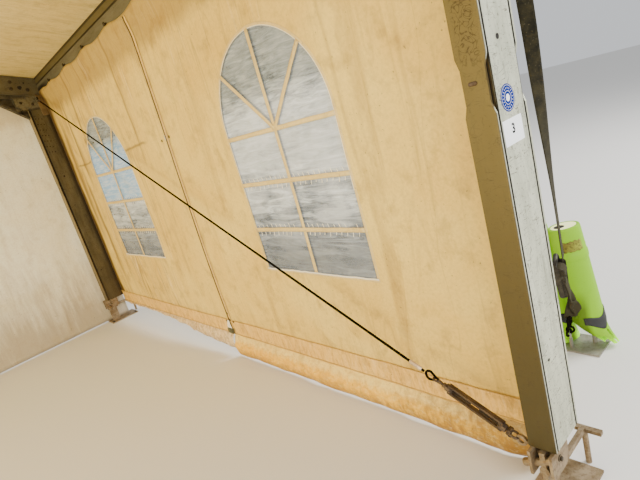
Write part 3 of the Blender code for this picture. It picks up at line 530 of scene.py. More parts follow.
def clear_film(name):
    """Clear flexible PVC film, hazy and scratched: glossy and see-through, with bright and dull streaks that
    run down in the arch and across lower down. What stands behind it is painted on as light and shade: a
    brighter middle band, a darker arch, darker low down, and a bluer, whiter painted view in the windows at
    the back."""
    finish, tree, place, axis = new_finish(name)
    streaks = []
    for tilt, stretch in ((-20, (1.0, 3.2, 26.0)), (84, (1.0, 6.0, 44.0))):
        drawn = add(tree, "Mapping", {"Vector": place, "Rotation": (radians(tilt), 0, 0), "Scale": stretch})
        streaks.append(add(tree, "TexNoise", {"Vector": drawn, "Scale": 1.0, "Detail": 8.0, "Roughness": 0.72,
                                              "Distortion": 0.8}))
    arch = add(tree, "MapRange", {"Value": axis.outputs["Z"], "From Min": 1.40, "From Max": 1.72})
    streak = add(tree, "Mix", {0: arch, 2: streaks[0], 3: streaks[1]})
    colour = layer(tree, "4a535c", "dbe4f0", streak, 0.38, 0.62)
    haze = add(tree, "TexNoise", {"Vector": place, "Scale": 4.2, "Detail": 4.0, "Roughness": 0.6})
    colour = layer(tree, colour, "eef3fa", haze, 0.42, 0.60, 0.45)
    # painted light and shade of what stands behind the film: the rear windows' bluer view, a brighter middle
    # band, a darker arch and darker low down
    rear = in_zone(tree, axis, (("Y", 0.3, 0.8), ("Z", 1.92, 1.84), ("Z", 1.32, 1.36)))
    for code, share, zone in (
            ("e6edf6", 0.50, in_zone(tree, axis, (("Z", 1.28, 1.45), ("Z", 1.86, 1.70)))),
            ("5c6658", 0.50, in_zone(tree, axis, (("Z", 1.74, 1.86),))),
            (layer(tree, "8ec6f8", "dceeff", streaks[1], 0.42, 0.60), 0.85, rear),
            ("4b5054", 0.70, in_zone(tree, axis, (("Z", 1.24, 0.90),)))):
        colour = layer(tree, colour, code, zone, most=share)
    cloud = add(tree, "MapRange",
                {"Value": streak, "From Min": 0.3, "From Max": 0.7, "To Min": 0.58, "To Max": 0.82})
    cloud = add(tree, "Mix", {0: rear, 2: cloud, 3: 0.64})
    bump = add(tree, "Bump", {"Height": streak, "Strength": 0.35, "Distance": 0.002})
    shader = add(tree, "BsdfPrincipled",
                 {"Base Color": colour, "Roughness": 0.16, "IOR": 1.53, "Normal": bump})
    through = add(tree, "BsdfTransparent", {"Color": layer(tree, "eef2f6", "cfe6ff", rear)})
    both = add(tree, "MixShader", {0: cloud, 1: through, 2: shader})
    add(tree, "OutputMaterial", {"Surface": both})
    return finish


def weathered_aluminium(name, clean, dull, grime, zones=(), grain=(6.0, 6.0, 1.2), scrawl=0.0, scribble=()):
    """Extruded aluminium alloy, mill finish gone chalky outdoors: pale matt metal with drawn-out dull
    patches, dark scratches and pits. Each zone is (hex, share, ramps): where a face takes another colour,
    mostly painted shade and painted light on faces turned from the light and in grooves and gaps, some of
    it grime. scrawl is how much darker the thin scratches are, and scribble the zone where curling lines
    have been drawn on."""
    finish, tree, place, axis = new_finish(name, mirrored=True)
    drawn = add(tree, "Mapping", {"Vector": place, "Scale": grain})
    patch = add(tree, "TexNoise",
                {"Vector": drawn, "Scale": 2.5, "Detail": 7.0, "Roughness": 0.65, "Distortion": 0.3})
    colour = layer(tree, clean, dull, patch, 0.38, 0.68)
    mottle = add(tree, "TexNoise", {"Vector": place, "Scale": 22.0, "Detail": 8.0, "Roughness": 0.75})
    # zones of painted shade, painted light and grime, mottled a little
    for code, most, ramps in zones:
        wear_and_shading = add(tree, "MapRange", {"Value": mottle, "From Min": 0.38, "From Max": 0.66, "To Min": most,
                                      "To Max": most * 0.95})
        colour = layer(tree, colour, code, in_zone(tree, axis, ramps), within=wear_and_shading)
    blotch = add(tree, "TexNoise", {"Vector": drawn, "Scale": 9.0, "Detail": 7.0, "Roughness": 0.72})
    colour = layer(tree, colour, grime, blotch, 0.56, 0.70, 0.40)
    # pits and specks of 2 to 5 mm
    pit = add(tree, "TexNoise", {"Vector": place, "Scale": 110.0, "Detail": 3.0, "Roughness": 0.55})
    colour = layer(tree, colour, grime, pit, 0.62, 0.70, 0.7)
    # scratches: long thin arcs, and short ones across
    rubbed = add(tree, "MapRange", {"Value": mottle, "From Min": 0.46, "From Max": 0.58})
    for size, half, stretch in ((5.0, 0.0080, (1.0, 1.0, 1.6)), (9.0, 0.0140, (0.6, 0.6, 4.0))):
        across = add(tree, "Mapping", {"Vector": place, "Scale": stretch})
        scratch = add(tree, "TexNoise", {"Vector": across, "Scale": size, "Detail": 2.0, "Roughness": 0.5,
                                         "Distortion": 1.6})
        colour = layer(tree, colour, grime, off_middle(tree, scratch), half, 0.0, 0.25 + scrawl, rubbed)
    if scribble:
        curls = add(tree, "TexNoise", {"Vector": place, "Scale": 19.0, "Detail": 1.0, "Distortion": 3.0})
        colour = layer(tree, colour, "2c1d08", off_middle(tree, curls), 0.060, 0.0, 0.90,
                       in_zone(tree, axis, scribble))
    bump = add(tree, "Bump", {"Height": pit, "Strength": 0.25, "Distance": 0.0008})
    roughness = add(tree, "MapRange", {"Value": patch, "To Min": 0.38, "To Max": 0.60})
    shader = add(tree, "BsdfPrincipled", {"Base Color": colour, "Metallic": 0.55, "Roughness": roughness,
                                          "Normal": bump})
    add(tree, "OutputMaterial", {"Surface": shader})
    return finish


def worn_steel(name, clean, dull, rust, rust_share=0.4, metal=0.6, rough=0.52, grit=60.0, zones=(),
               shine=0.5):
    """Hot dip galvanised or forged steel, years outdoors: dull blotchy grey with brown dirt and rust in
    patches. shine is the strength of the gloss of what isn't bare metal, such as an oily or a dirty skin."""
    finish, tree, place, axis = new_finish(name, mirrored=True)
    blotch = add(tree, "TexNoise", {"Vector": place, "Scale": 14.0, "Detail": 6.0, "Roughness": 0.6})
    colour = layer(tree, clean, dull, blotch, 0.36, 0.64)
    # zones of painted light and painted shade, by place
    for code, most, ramps in zones:
        colour = layer(tree, colour, code, in_zone(tree, axis, ramps), most=most)
    crust = add(tree, "TexNoise", {"Vector": place, "Scale": grit, "Detail": 4.0, "Roughness": 0.65})
    colour = layer(tree, colour, rust, crust, 0.48, 0.66, rust_share)
    bump = add(tree, "Bump", {"Height": crust, "Strength": 0.3, "Distance": 0.001})
    roughness = add(tree, "MapRange", {"Value": crust, "To Min": rough - 0.1, "To Max": rough + 0.2})
    shader = add(tree, "BsdfPrincipled", {"Base Color": colour, "Metallic": metal, "Roughness": roughness,
                                          "Normal": bump, "Specular IOR Level": shine})
    add(tree, "OutputMaterial", {"Surface": shader})
    return finish


def woven_webbing(name, yarn, faded, mud, painted_light_low):
    """Polyester ratchet webbing: matt, ribbed by its weft every few millimetres, faded and dusted with
    mildew."""
    finish, tree, place, axis = new_finish(name)
    fade = add(tree, "TexNoise", {"Vector": place, "Scale": 22.0, "Detail": 5.0, "Roughness": 0.65})
    colour = layer(tree, yarn, faded, fade, 0.4, 0.68)
    # painted light: the strap is paler lower down
    colour = layer(tree, colour, painted_light_low, axis.outputs["Z"], 1.7, 0.85, 0.7)
    colour = layer(tree, colour, faded, axis.outputs["Z"], 0.66, 0.56, 0.75)
    fleck = add(tree, "TexNoise", {"Vector": place, "Scale": 150.0, "Detail": 2.0})
    colour = layer(tree, colour, mud, fleck, 0.66, 0.72, 0.7)
    # weft ribs, drawn at 5 mm in place of 2 mm so that they show
    rib = add(tree, "TexWave", {"Vector": place, "Scale": 200.0 / (2 * pi), "Distortion": 0.6},
              bands_direction="Z")
    bump = add(tree, "Bump", {"Height": rib.outputs["Fac"], "Strength": 0.5, "Distance": 0.001})
    shader = add(tree, "BsdfPrincipled", {"Base Color": colour, "Roughness": 0.85, "Normal": bump,
                                          "Specular IOR Level": 0.2})
    add(tree, "OutputMaterial", {"Surface": shader})
    return finish


def moulded_plastic(name, tone, scuffed, dirt, rough=0.42, scuff_share=0.35, grime=None, zones=(), painted_glow=0.0,
                    waxy=0.5):
    """Rotation moulded polyethylene or a printed vinyl: even strong colour, waxy sheen, scuffs and ground-in
    dirt. grime is (from, to): the heights over which the dirt comes in. Each zone is (hex, share, ramps).
    painted_glow is a painted glow in the surface's own colour, standing in for the light that a fluorescent
    pigment gives back, and waxy the strength of the sheen."""
    finish, tree, place, axis = new_finish(name, mirrored=True)
    scuff = add(tree, "TexNoise", {"Vector": place, "Scale": 26.0, "Detail": 7.0, "Roughness": 0.7})
    colour = layer(tree, tone, scuffed, scuff, 0.52, 0.72, scuff_share)
    for code, most, ramps in zones:
        colour = layer(tree, colour, code, in_zone(tree, axis, ramps), most=most)
    fine = add(tree, "TexNoise", {"Vector": place, "Scale": 120.0, "Detail": 3.0, "Roughness": 0.6})
    colour = layer(tree, colour, dirt, fine, 0.66, 0.76, 0.5)
    if grime:
        wander = add(tree, "MapRange", {"Value": scuff, "To Min": -0.05, "To Max": 0.05})
        height = add(tree, "Math", {0: axis.outputs["Z"], 1: wander}, operation="ADD")
        colour = layer(tree, colour, dirt, height, *grime, 0.75)
    bump = add(tree, "Bump", {"Height": scuff, "Strength": 0.12, "Distance": 0.001})
    roughness = add(tree, "MapRange", {"Value": scuff, "To Min": rough - 0.06, "To Max": rough + 0.18})
    # painted glow: emission in the surface's own colour
    shader = add(tree, "BsdfPrincipled",
                 {"Base Color": colour, "Roughness": roughness, "Normal": bump, "IOR": 1.5,
                  "Emission Color": colour, "Emission Strength": painted_glow, "Specular IOR Level": waxy})
    add(tree, "OutputMaterial", {"Surface": shader})
    return finish


def studio_floor(name):
    """Plain pale matt floor."""
    finish, tree, *_ = new_finish(name)
    shader = add(tree, "BsdfPrincipled", {"Base Color": hex_colour("dcdad6"), "Roughness": 0.9})
    add(tree, "OutputMaterial", {"Surface": shader})
    return finish


# The wall: painted shade over its top under the eave, and ground dirt along its foot. The folds are painted
# shade with a painted highlight beside them. The creases are painted shade, the first of them the dark shade
# beside the rear leg's edge.
WALL_CLOTH = coated_fabric(
    "tan_coated_wall_fabric", "efd374", "e2bc56", "8a622a", (3.0, 7.5, 0.9), mottle=0.7, dirt=0.45,
    bands=(("Z", 2.29, 2.38, "a98c4c", 0.70), ("Z", 0.36, 0.16, "bf9350", 0.25)),
    folds=((0.70, (("Y", 0.3, 1.1),)), (0.45, (("Y", -2.2, -0.4), ("Z", 1.7, 2.2)))),
    creases=(
        ("4c3618", 0.95, (("Y", 2.360, 2.430),)),
        ("7a5826", 0.75, (("Y", 2.190, 2.270), ("Y", 2.345, 2.285), ("Z", 0.90, 1.30), ("Z", 2.40, 2.10))),
        ("7a5826", 0.70, (("Y", 2.080, 2.140), ("Y", 2.190, 2.150), ("Z", 0.50, 0.80), ("Z", 1.90, 1.55))),
        ("7a5826", 0.70, (("Y", 1.930, 1.980), ("Y", 2.020, 1.990), ("Z", 1.50, 1.75), ("Z", 2.50, 2.25))),
        ("7a5826", 0.60, (("Y", 1.630, 1.655), ("Y", 1.690, 1.665), ("Z", 1.90, 2.10))),
        ("7a5826", 0.60, (("Y", 0.510, 0.532), ("Y", 0.560, 0.538), ("Z", 1.60, 1.90))),
        ("6e4e22", 0.65, (("Y", 0.350, 0.450), ("Y", 2.250, 2.150), ("Z", 1.800, 1.812),
                          ("Z", 1.828, 1.816)))))
# Front skirt: a painted highlight along the top of its roll, darker towards the foot with mud and painted
# shade, and darker towards the front leg. Its rubbed streaks are painted crinkle highlights and shade, with
# some wear.
SKIRT_CLOTH = coated_fabric("sunlit_muddy_skirt_fabric", "ffd244", "f6be32", "986a30", (3.0, 16.0, 7.0),
                            dirt=0.30, glow=0.3, rub_and_crinkle_light=("fff4b4", "b87c38", (10.0, 26.0, 44.0), 0.30),
                            bands=(("Z", 0.120, 0.155, "fff2a4", 0.55), ("Z", 0.095, 0.02, "9a6a34", 0.65),
                                   ("Y", -1.6, -2.25, "8a5e30", 0.7)))
# Rear skirt: darker towards the foot. Its rubbed streaks are painted crinkle highlights and shade, with some
# wear.
SKIRT_PALE = coated_fabric("pale_crumpled_skirt_fabric", "ecd2a2", "d6b27a", "6f5534", (3.0, 14.0, 9.0),
                           dirt=0.5, bands=(("Z", 0.13, 0.04, "8a6636", 0.6),),
                           rub_and_crinkle_light=("fff0cf", "8a6234", (30.0, 40.0, 26.0), 0.6))
HEM_CLOTH = coated_fabric("grimy_hem_fabric", "f6ca66", "e8b452", "946830", (3.0, 20.0, 8.0), dirt=0.45,
                          rub_and_crinkle_light=("f8d898", "ad7636", (8.0, 46.0, 12.0), 0.5))
BAR_CLOTH = coated_fabric("window_bar_fabric", "ecd28c", "dcbe74", "a38448", (4.0, 8.0, 8.0), dirt=0.25)
EDGE_CLOTH = coated_fabric("pale_window_edge_fabric", "fbf6ea", "eee4cc", "c9b48c", (4.0, 8.0, 8.0), dirt=0.2)
SEAM_CLOTH = coated_fabric("worn_seam_fabric", "ecca7e", "ddb868", "8a6836", (4.0, 20.0, 2.0), dirt=0.4)
HEM_EDGE = coated_fabric("worn_hem_edge_fabric", "d0a856", "bf9548", "7c5c2a", (4.0, 20.0, 2.0), dirt=0.4)
SEAM_LINE = coated_fabric("olive_stitched_fold_fabric", "b5954e", "a4853e", "6b5228", (4.0, 20.0, 2.0),
                          dirt=0.4)
# painted shadow: the dark cord along the seam flap's edge
SEAM_SHADOW = coated_fabric("seam_shadow_cord_fabric", "4e3616", "3e2a10", "281a0a", (6.0, 20.0, 6.0), dirt=0.5)
ROOF_CLOTH = coated_fabric("tan_coated_roof_fabric", "e8d596", "d8c27a", "988046", (1.3, 16.0, 3.0),
                           mottle=0.6, dirt=0.4, rub_and_crinkle_light=("e6d6a4", "b2955a", (4.0, 60.0, 10.0), 0.35), glow=0.3)
# The gable: painted shade under the rafters at the top, and darker towards the foot.
GABLE_CLOTH = coated_fabric("cream_coated_gable_fabric", "fffae6", "f8ecca", "b9a070", (9.0, 3.0, 1.2),
                            dirt=0.25, glow=0.5,
                            bands=(("Z", 2.28, 2.38, "c4aa74", 0.30), ("Z", 0.85, 0.15, "8c6c3a", 0.45)))
FLAP_CLOTH = coated_fabric("shaded_corner_flap_fabric", "7a6238", "64502c", "33270f", (4.0, 12.0, 6.0),
                           dirt=0.6)
FILM = clear_film("clear_window_film")
# painted shade: dark lines along the legs' two grooves
GROOVE_SHADES = [("17120b", 1.0, (("X", a, a + 0.001), ("X", a + 0.012, a + 0.011))) for a in (4.8090, 4.9790)]
INNER = ("X", 4.8065, 4.8035)                  # the face that looks into the room
# Front legs: brown painted shade on all but the front and outer faces, as in the grooves and cut-outs. The
# inner face is painted in the tent's warm shade, darker towards the bottom and the top. The groove lines are
# painted shade.
LEG_METAL = weathered_aluminium(
    "weathered_leg_aluminium", "cfd1ba", "a6a892", "40351c", scrawl=0.70,
    zones=(("6a5220", 0.95, (("Y", 2.5470, 2.5450), ("X", 4.992, 4.986))), ("5c5029", 1.0, (INNER,)),
           ("30290f", 0.60, (INNER, ("Z", 1.9, 0.3))), ("47381a", 0.40, (INNER, ("Z", 1.85, 2.30))),
           *GROOVE_SHADES),
    scribble=(INNER, ("Z", 1.60, 1.70), ("Y", 2.462, 2.470), ("Y", 2.538, 2.530)))
# Rear legs: a darker, shaded copy of the legs' aluminium, partly dirt and partly painted shade. It has a
# painted lit strip on the inner face, painted shade on the outer part of the face that looks into the tent, a
# dark painted shade band along the groove by the inner edge, and is darker towards the bottom.
REAR_LEG_METAL = weathered_aluminium(
    "browned_and_shaded_leg_aluminium", "615a40", "48412c", "1f180e", scrawl=0.3,
    zones=(("8b7b54", 0.9, (INNER,)), ("2a1e0c", 0.8, (("X", 4.944, 4.966),)),
           ("0f0a05", 1.0, (("X", 4.8055, 4.8065), ("X", 4.8235, 4.8225))),
           ("4c3e22", 0.45, (("Z", 0.9, 0.3),))))
RAFTER_METAL = weathered_aluminium("weathered_rafter_aluminium", "6c664f", "524b36", "241d11",
                                   grain=(1.2, 6.0, 1.2))
EAVE = ("X", 4.95, 4.96)
# The purlin: a darker, olive upper strip. It has painted shade lines along its groove and its top edge, and a
# painted shadow low on it near the rear end.
PURLIN_METAL = weathered_aluminium(
    "weathered_purlin_aluminium", "6e6b5a", "575342", "2a2416", grain=(6.0, 1.0, 6.0), zones=(
        ("5c5230", 0.9, (("Z", 2.668, 2.676),)),
        ("0e0a05", 1.0, (EAVE, ("Z", 2.6620, 2.6640), ("Z", 2.6780, 2.6760))),
        ("140e06", 1.0, (EAVE, ("Z", 2.7160, 2.7200))),
        ("0e0a05", 1.0, (EAVE, ("Y", 1.90, 2.25), ("Z", 2.650, 2.622)))))
POST_METAL = weathered_aluminium("weathered_post_aluminium", "b5ae9a", "968e78", "4d4530")
# painted light on the face of the collar, and a painted shade line in the gap under it
BRACKET_STEEL = worn_steel("dull_galvanised_bracket_steel", "565041", "3c3727", "241e13", 0.5, zones=(
    ("8f886c", 0.5, (("X", 4.705, 4.715), ("Z", 2.445, 2.455), ("Z", 2.585, 2.560))),
    ("1c150b", 0.9, (("X", 4.690, 4.700), ("X", 4.945, 4.935), ("Z", 2.405, 2.412), ("Z", 2.438, 2.430)))))
FOOT_STEEL = worn_steel("muddy_galvanised_foot_steel", "a08e72", "7a6648", "5c4226", 0.6)
ANCHOR_STEEL = worn_steel("dusty_anchor_steel", "a39e92", "89847a", "6f6250", 0.4)
RATCHET_STEEL = worn_steel("dull_ratchet_steel", "4c483c", "302c22", "1c1710", 0.5, rough=0.5)
BUCKLE_STEEL = worn_steel("bronzed_forged_steel", "5e4c36", "40332a", "261b12", 0.5, rough=0.42, grit=120.0)
ROPE_STEEL = worn_steel("oiled_wire_rope", "15100a", "0c0906", "070504", 0.5, metal=0.0, rough=0.9,
                        grit=200.0, shine=0.05)
SLEEVE_METAL = worn_steel("pressed_aluminium_sleeve", "d8c4ac", "b09a84", "6a5645", 0.35, rough=0.4)
BOLT_STEEL = worn_steel("dull_zinc_bolt_steel", "443b2c", "2c2519", "1c160e", 0.6)
# painted shadow: the dark inside of holes, slots and torn openings
SHADOW = worn_steel("shadow_in_a_hole", "1d1710", "120e0a", "080604", 0.4, metal=0.0, rough=0.9)
WEBBING = woven_webbing("olive_ratchet_webbing", "17150b", "35301d", "5c5642", "3b3726")
# painted shadow: dark green low down on each cover's side towards the strap and the other cover
NEON = moulded_plastic(
    "neon_green_polyethylene", "b2ff0c", "94ee00", "4e6414", grime=(0.0, 0.07), painted_glow=0.8, waxy=0.15,
    zones=(("1c3c04", 0.92,
            (("Y", 2.290, 2.262), ("Y", 2.130, 2.160), ("X", 5.965, 5.930), ("Z", 0.36, 0.25))),))
NEON_LID = moulded_plastic("faded_neon_lid", "fdffb4", "f0fa90", "8a8a4a", painted_glow=0.35)
LABEL = worn_steel("worn_brown_label", "6a6018", "8e9426", "3a2c0c", 0.9, metal=0.0, rough=0.7, grit=90.0)
RUBBER = moulded_plastic("black_rubber_band", "232424", "3a3a38", "5a5240", rough=0.6)
STICKER_BLUE = moulded_plastic("blue_vinyl_sticker", "032476", "062c84", "0c2458", rough=0.7, scuff_share=0.4,
                               waxy=0.05)
PALE_VINYL = moulded_plastic("white_vinyl_tag", "f4f6f8", "e8ebee", "b9b8ae", rough=0.7, scuff_share=0.3,
                             waxy=0.1)
PRINT = moulded_plastic("black_printed_number", "0c0d10", "16171a", "08080a", rough=0.8, waxy=0.05)
LACING = moulded_plastic("dark_olive_lacing_buckle", "4e4c34", "6a6648", "3a3424", rough=0.5, scuff_share=0.6)
FLOOR = studio_floor("pale_studio_floor")


# ---------------------------------------------------------------- camera and light

def studio():
    """The photograph's view from just outside the open front, a pale floor and soft lights."""
    right = Vector((0.7065, -0.6549, -0.2683))
    up = Vector((0.3683, 0.0164, 0.9296))
    forward = Vector((0.6044, 0.7555, -0.2528))
    camera = in_scene("camera", bpy.data.cameras.new("camera"))
    matrix = Matrix((right, up, -forward)).transposed().to_4x4()
    matrix.translation = Vector((3.42, -3.304, 1.656))
    camera.matrix_world = matrix
    camera.data.lens = 27.28
    camera.data.sensor_width = 36.0
    bpy.context.scene.camera = camera

    world = bpy.data.worlds.new("pale_studio")
    world.use_nodes = True
    bpy.context.scene.world = world
    world.node_tree.nodes["Background"].inputs["Color"].default_value = hex_colour("eef1f5")
    world.node_tree.nodes["Background"].inputs["Strength"].default_value = 0.85

    floor = join("studio_floor", begin(bpy.ops.mesh.primitive_plane_add, size=80))
    floor.data.materials.append(FLOOR)

    clear, warm = (1.0, 0.985, 0.955), (1.0, 0.86, 0.52)
    for name, at, aim, size, power, colour in (
            ("front_light", (0.5, -8.5, 4.2), (3.6, 0.0, 1.3), (5.0, 4.0), 680, clear),
            ("room_light", (-2.6, -0.4, 1.7), (4.9, 0.2, 1.4), (3.6, 2.4), 430, warm),
            ("roof_light", (1.6, 0.2, 0.25), (2.6, 0.2, 3.0), (3.0, 3.5), 80, warm),
            ("side_light", (11.0, -6.0, 6.0), (5.0, -1.0, 0.8), (4.0, 4.0), 1150, clear),
            ("back_light", (-6.0, 9.0, 7.0), (0.0, 2.0, 1.5), (5.0, 5.0), 1450, clear)):
        lamp = bpy.data.lights.new(name, "AREA")
        lamp.shape = "RECTANGLE"
        lamp.size, lamp.size_y = size
        lamp.energy = power
        lamp.color = colour
        light = in_scene(name, lamp)
        light.location = at
        light.rotation_euler = (Vector(aim) - Vector(at)).to_track_quat("-Z", "Y").to_euler()
        light.visible_camera = False


# ---------------------------------------------------------------- side walls

def noise_at(*place):
    """Smooth noise from -1 to 1 at a place."""
    return noise.noise(Vector(place))


def hooked(y):
    """1 under a hook, 0 halfway between two."""
    return 0.5 + 0.5 * cos(2 * pi * (y - HOOK_FIRST) / HOOK_STEP)


def wall_top(y):
    """The wall's upper edge: up at the hooks and the frames, sagging between them."""
    scallop = SAG_HEIGHT + (HOOK_HEIGHT - SAG_HEIGHT) * hooked(y) ** 1.3 + 0.002 * noise_at(y * 5.0, 1.0, 8.0)
    return scallop + (HOOK_HEIGHT - scallop) * ease(2.05, 2.25, abs(y))


def wall_inward(y, z):
    """How far the wall stands in from its plane."""
    free = ease(2.446, 2.385, abs(y))
    draw = (WALL_X - PURLIN_FACE + 0.0042) * ease(2.42, 2.565, z)
    below = max(0.0, HOOK_HEIGHT - z)
    hung = exp(-below / 0.5) * (1 - exp(-below / 0.06))
    slack = min(1.0, below / 0.5) * ease(WALL_END, 2.2, abs(y)) * (0.35 + 0.65 * ease(WALL_FOOT, 0.6, z))
    crease = 0.007 * hung * (hooked(y) ** 1.6 - 0.4)
    # drawn-out creases beside the frames and from the hooks down, 50 to 150 mm apart
    corner = ease(1.2, 2.3, y)
    pull = 0.0034 * noise_at(y * 13.0, z * 1.3, 4.2) * (0.6 + 1.6 * corner)
    belly = 0.013 * noise_at(y * 0.9 + 3.0, z * 0.8, 1.7) + 0.004 * noise_at(y * 3.3, z * 1.4, 9.1)
    fold = 0.006 * exp(-((z - 1.755) / 0.012) ** 2) * ease(0.75, 0.85, abs(y - 0.95)) if y > 0 else 0.0
    return draw + (crease + pull * min(1.0, below * 5)) * free + (belly + 0.008) * slack + fold * slack


def wall_point(y, z, proud=0.0):
    """A point on the wall cloth, proud of it towards the room."""
    return Vector((WALL_X - wall_inward(y, z) - proud, y, z))


def window_outline(grow=0.0, middle=0.0, steps=64):
    """The arched opening as (y, z) points, from the sill round the arch and back to the sill."""
    half = WINDOW_HALF + grow
    low = WINDOW_SILL - grow
    line = [(middle + half, z) for z in spaced(low, WINDOW_SPRING, 28)[:-1]]
    line += [(middle + half * cos(a), WINDOW_SPRING + half * sin(a)) for a in spaced(0.0, pi, steps)]
    line += [(middle - half, z) for z in spaced(WINDOW_SPRING, low, 28)[1:-1]]
    return line + [(y, low) for y in spaced(middle - half, middle + half, 40)[:-1]]


def in_window(y, z, middle, grow=0.0):
    """Whether a point is inside the opening, or inside its outline grown by a margin."""
    half = WINDOW_HALF + grow
    if z <= WINDOW_SPRING:
        return abs(y - middle) < half and z > WINDOW_SILL - grow
    return hypot(y - middle, z - WINDOW_SPRING) < half


def snap_to(line, surface):
    """Moves a corner of a cut edge onto the outline, if it is within reach of it."""
    reach = 0.018

    def settle(vert):
        y, z = min(line, key=lambda p: hypot(p[0] - vert.co.y, p[1] - vert.co.z))
        if hypot(y - vert.co.y, z - vert.co.z) < reach:
            vert.co = surface(y, z)
    return settle


def wall_sheet(end, middle):
    """One panel of the side wall: hung from its hooks, cut out for the window."""
    y0, y1 = sorted((end * WALL_END, 0.002 if end > 0 else -0.002))

    def point(u, v):
        y = y0 + (y1 - y0) * u
        return wall_point(y, WALL_FOOT + (wall_top(y) - WALL_FOOT) * v)

    return cloth("wall_sheet", 140, 138, point, keep=lambda co: not in_window(co.y, co.z, middle),
                 settle=snap_to(window_outline(0.0, middle, 160), wall_point))


def pucker(y, z):
    """Small waves where the film is welded to the bars and the sill."""
    gap = min(abs(z - b) for b in WINDOW_BARS + (WINDOW_SILL,)) - BAR_WIDTH / 2
    wave = cos(2 * pi * y / FOLD_STEP + 2.0 * noise_at(y * 9, z * 3, 2.0))
    return 0.0028 * wave * exp(-max(0.0, gap) / 0.022)


def film_sheet(middle):
    """The clear film behind the window opening, lapped 12 mm over the cloth's outer side."""
    lap = 0.012
    low, high = WINDOW_SILL - lap, WINDOW_SPRING + WINDOW_HALF + lap
    half = WINDOW_HALF + lap

    def film_point(y, z):
        wave = 0.0035 * noise_at(y * 4.0, z * 3.0, 5.5) + 0.0012 * noise_at(y * 13.0, z * 17.0, 8.5)
        edge = ease(0.0, 0.05, min(half - abs(y - middle), z - low))
        return wall_point(y, z, -0.0030 + min(0.0012, pucker(y, z) - 0.001) + (wave - 0.004) * edge)

    return cloth("window_film", 66, 94,
                 lambda u, v: film_point(middle - half + 2 * half * u, low + (high - low) * v),
                 keep=lambda co: in_window(co.y, co.z, middle, lap),
                 settle=snap_to(window_outline(lap, middle, 160), film_point), thickness=0.0008)


def strip_on_wall(name, line, width, proud, thickness=0.0015):
    """A strip of cloth welded on the wall along (y, z) points."""
    points = [Vector((0, y, z)) for y, z in line]
    return band(name, points, width, lambda p, forward: Vector((0, -forward.z, forward.y)),
                lambda p: wall_point(p.y, p.z, proud), thickness)


def window_bars(middle):
    """Centre mullion, three cross bars and a fan of two spokes over the hub, with the welded edge of the
    opening."""
    top = WINDOW_SPRING + WINDOW_HALF
    strips = [strip_on_wall("mullion", [(middle, z) for z in spaced(WINDOW_SILL, top, 44)], BAR_WIDTH,
                            0.0030)]
    for z in WINDOW_BARS:
        line = [(middle + y, z + 0.002 * noise_at(middle + i * 0.3, z, 1.0))
                for i, y in enumerate(spaced(-WINDOW_HALF, WINDOW_HALF, 44))]
        strips.append(strip_on_wall("cross_bar", line, BAR_WIDTH, 0.0040))
    for side in (-1, 1):
        reach = 0.70 * WINDOW_HALF
        while hypot(reach / sqrt(2), WINDOW_HUB + reach / sqrt(2) - WINDOW_SPRING) < WINDOW_HALF:
            reach += 0.002
        line = [(middle + side * s, WINDOW_HUB + s) for s in spaced(0.0, reach / sqrt(2), 24)]
        strips.append(strip_on_wall("spoke", line, BAR_WIDTH * 0.9, 0.0050))
    outline = window_outline(0.007, middle)
    strips.append(strip_on_wall("edge", outline + outline[:1], 0.016, 0.0015, 0.001))
    return join("window_bars", *strips)


def film_fold_glints_and_edge(middle):
    """The film's small folds beside the cross bars as pale strips, stress-whitening with a painted glint on
    each, and its cut edge round the arch.
    """
    strips = []
    for row, z in enumerate(WINDOW_BARS[:2]):
        for side in (-1, 1):
            start = z + side * (BAR_WIDTH / 2 + 0.001)
            for i in range(-10, 11):
                y = middle + FOLD_STEP * i + 0.008 * noise_at(i * 0.7, row, side + middle)
                long = 0.020 + 0.016 * noise_at(i * 1.3, row + 3.0, side + middle)
                if 0.018 < abs(y - middle) < WINDOW_HALF - 0.012 and long > 0.012:
                    line = [(y, start), (y + 0.002, start + side * long / 2),
                            (y + 0.006, start + side * long)]
                    # pale strips on the small folds: stress-whitening with a painted glint
                    strips.append(strip_on_wall("fold", line, 0.0042, 0.0016, 0.0006))
    arch = [point for point in window_outline(-0.002, middle) if point[1] > 1.25]
    strips.append(strip_on_wall("cut_edge", arch, 0.0042, 0.0022, 0.0008))
    return join("film_fold_glints_and_edge", *strips)


def window_sill(middle):
    """The pale cut edge of the film along the sill, a little wavy."""
    line = [(middle + y, WINDOW_SILL + 0.002 + 0.003 * noise_at(i * 0.35, middle, 3.0))
            for i, y in enumerate(spaced(-WINDOW_HALF - 0.01, WINDOW_HALF + 0.01, 60))]
    return strip_on_wall("window_sill", line, 0.009, 0.0048)


def wall_hem(y0, y1):
    """The doubled hem between the wall and its ground flap."""
    def point(u, v):
        y = y0 + (y1 - y0) * u
        z = HEM_FOOT + (HEM_TOP - HEM_FOOT) * v + 0.003 * noise_at(y * 2.0, 0, 3)
        ripple = 0.0012 * noise_at(y * 22, z * 9, 6)
        return wall_point(y, z, 0.0042 + ripple)
    return cloth("wall_hem", 120, 8, point, thickness=0.0022)


def hem_fold(y0, y1, z):
    """A stitched fold along the hem."""
    line = [(y, z + 0.003 * noise_at(y * 2.0, 0, 3)) for y in spaced(y0, y1, 90)]
    return strip_on_wall("hem_fold", line, 0.0045, 0.0068, 0.0025)


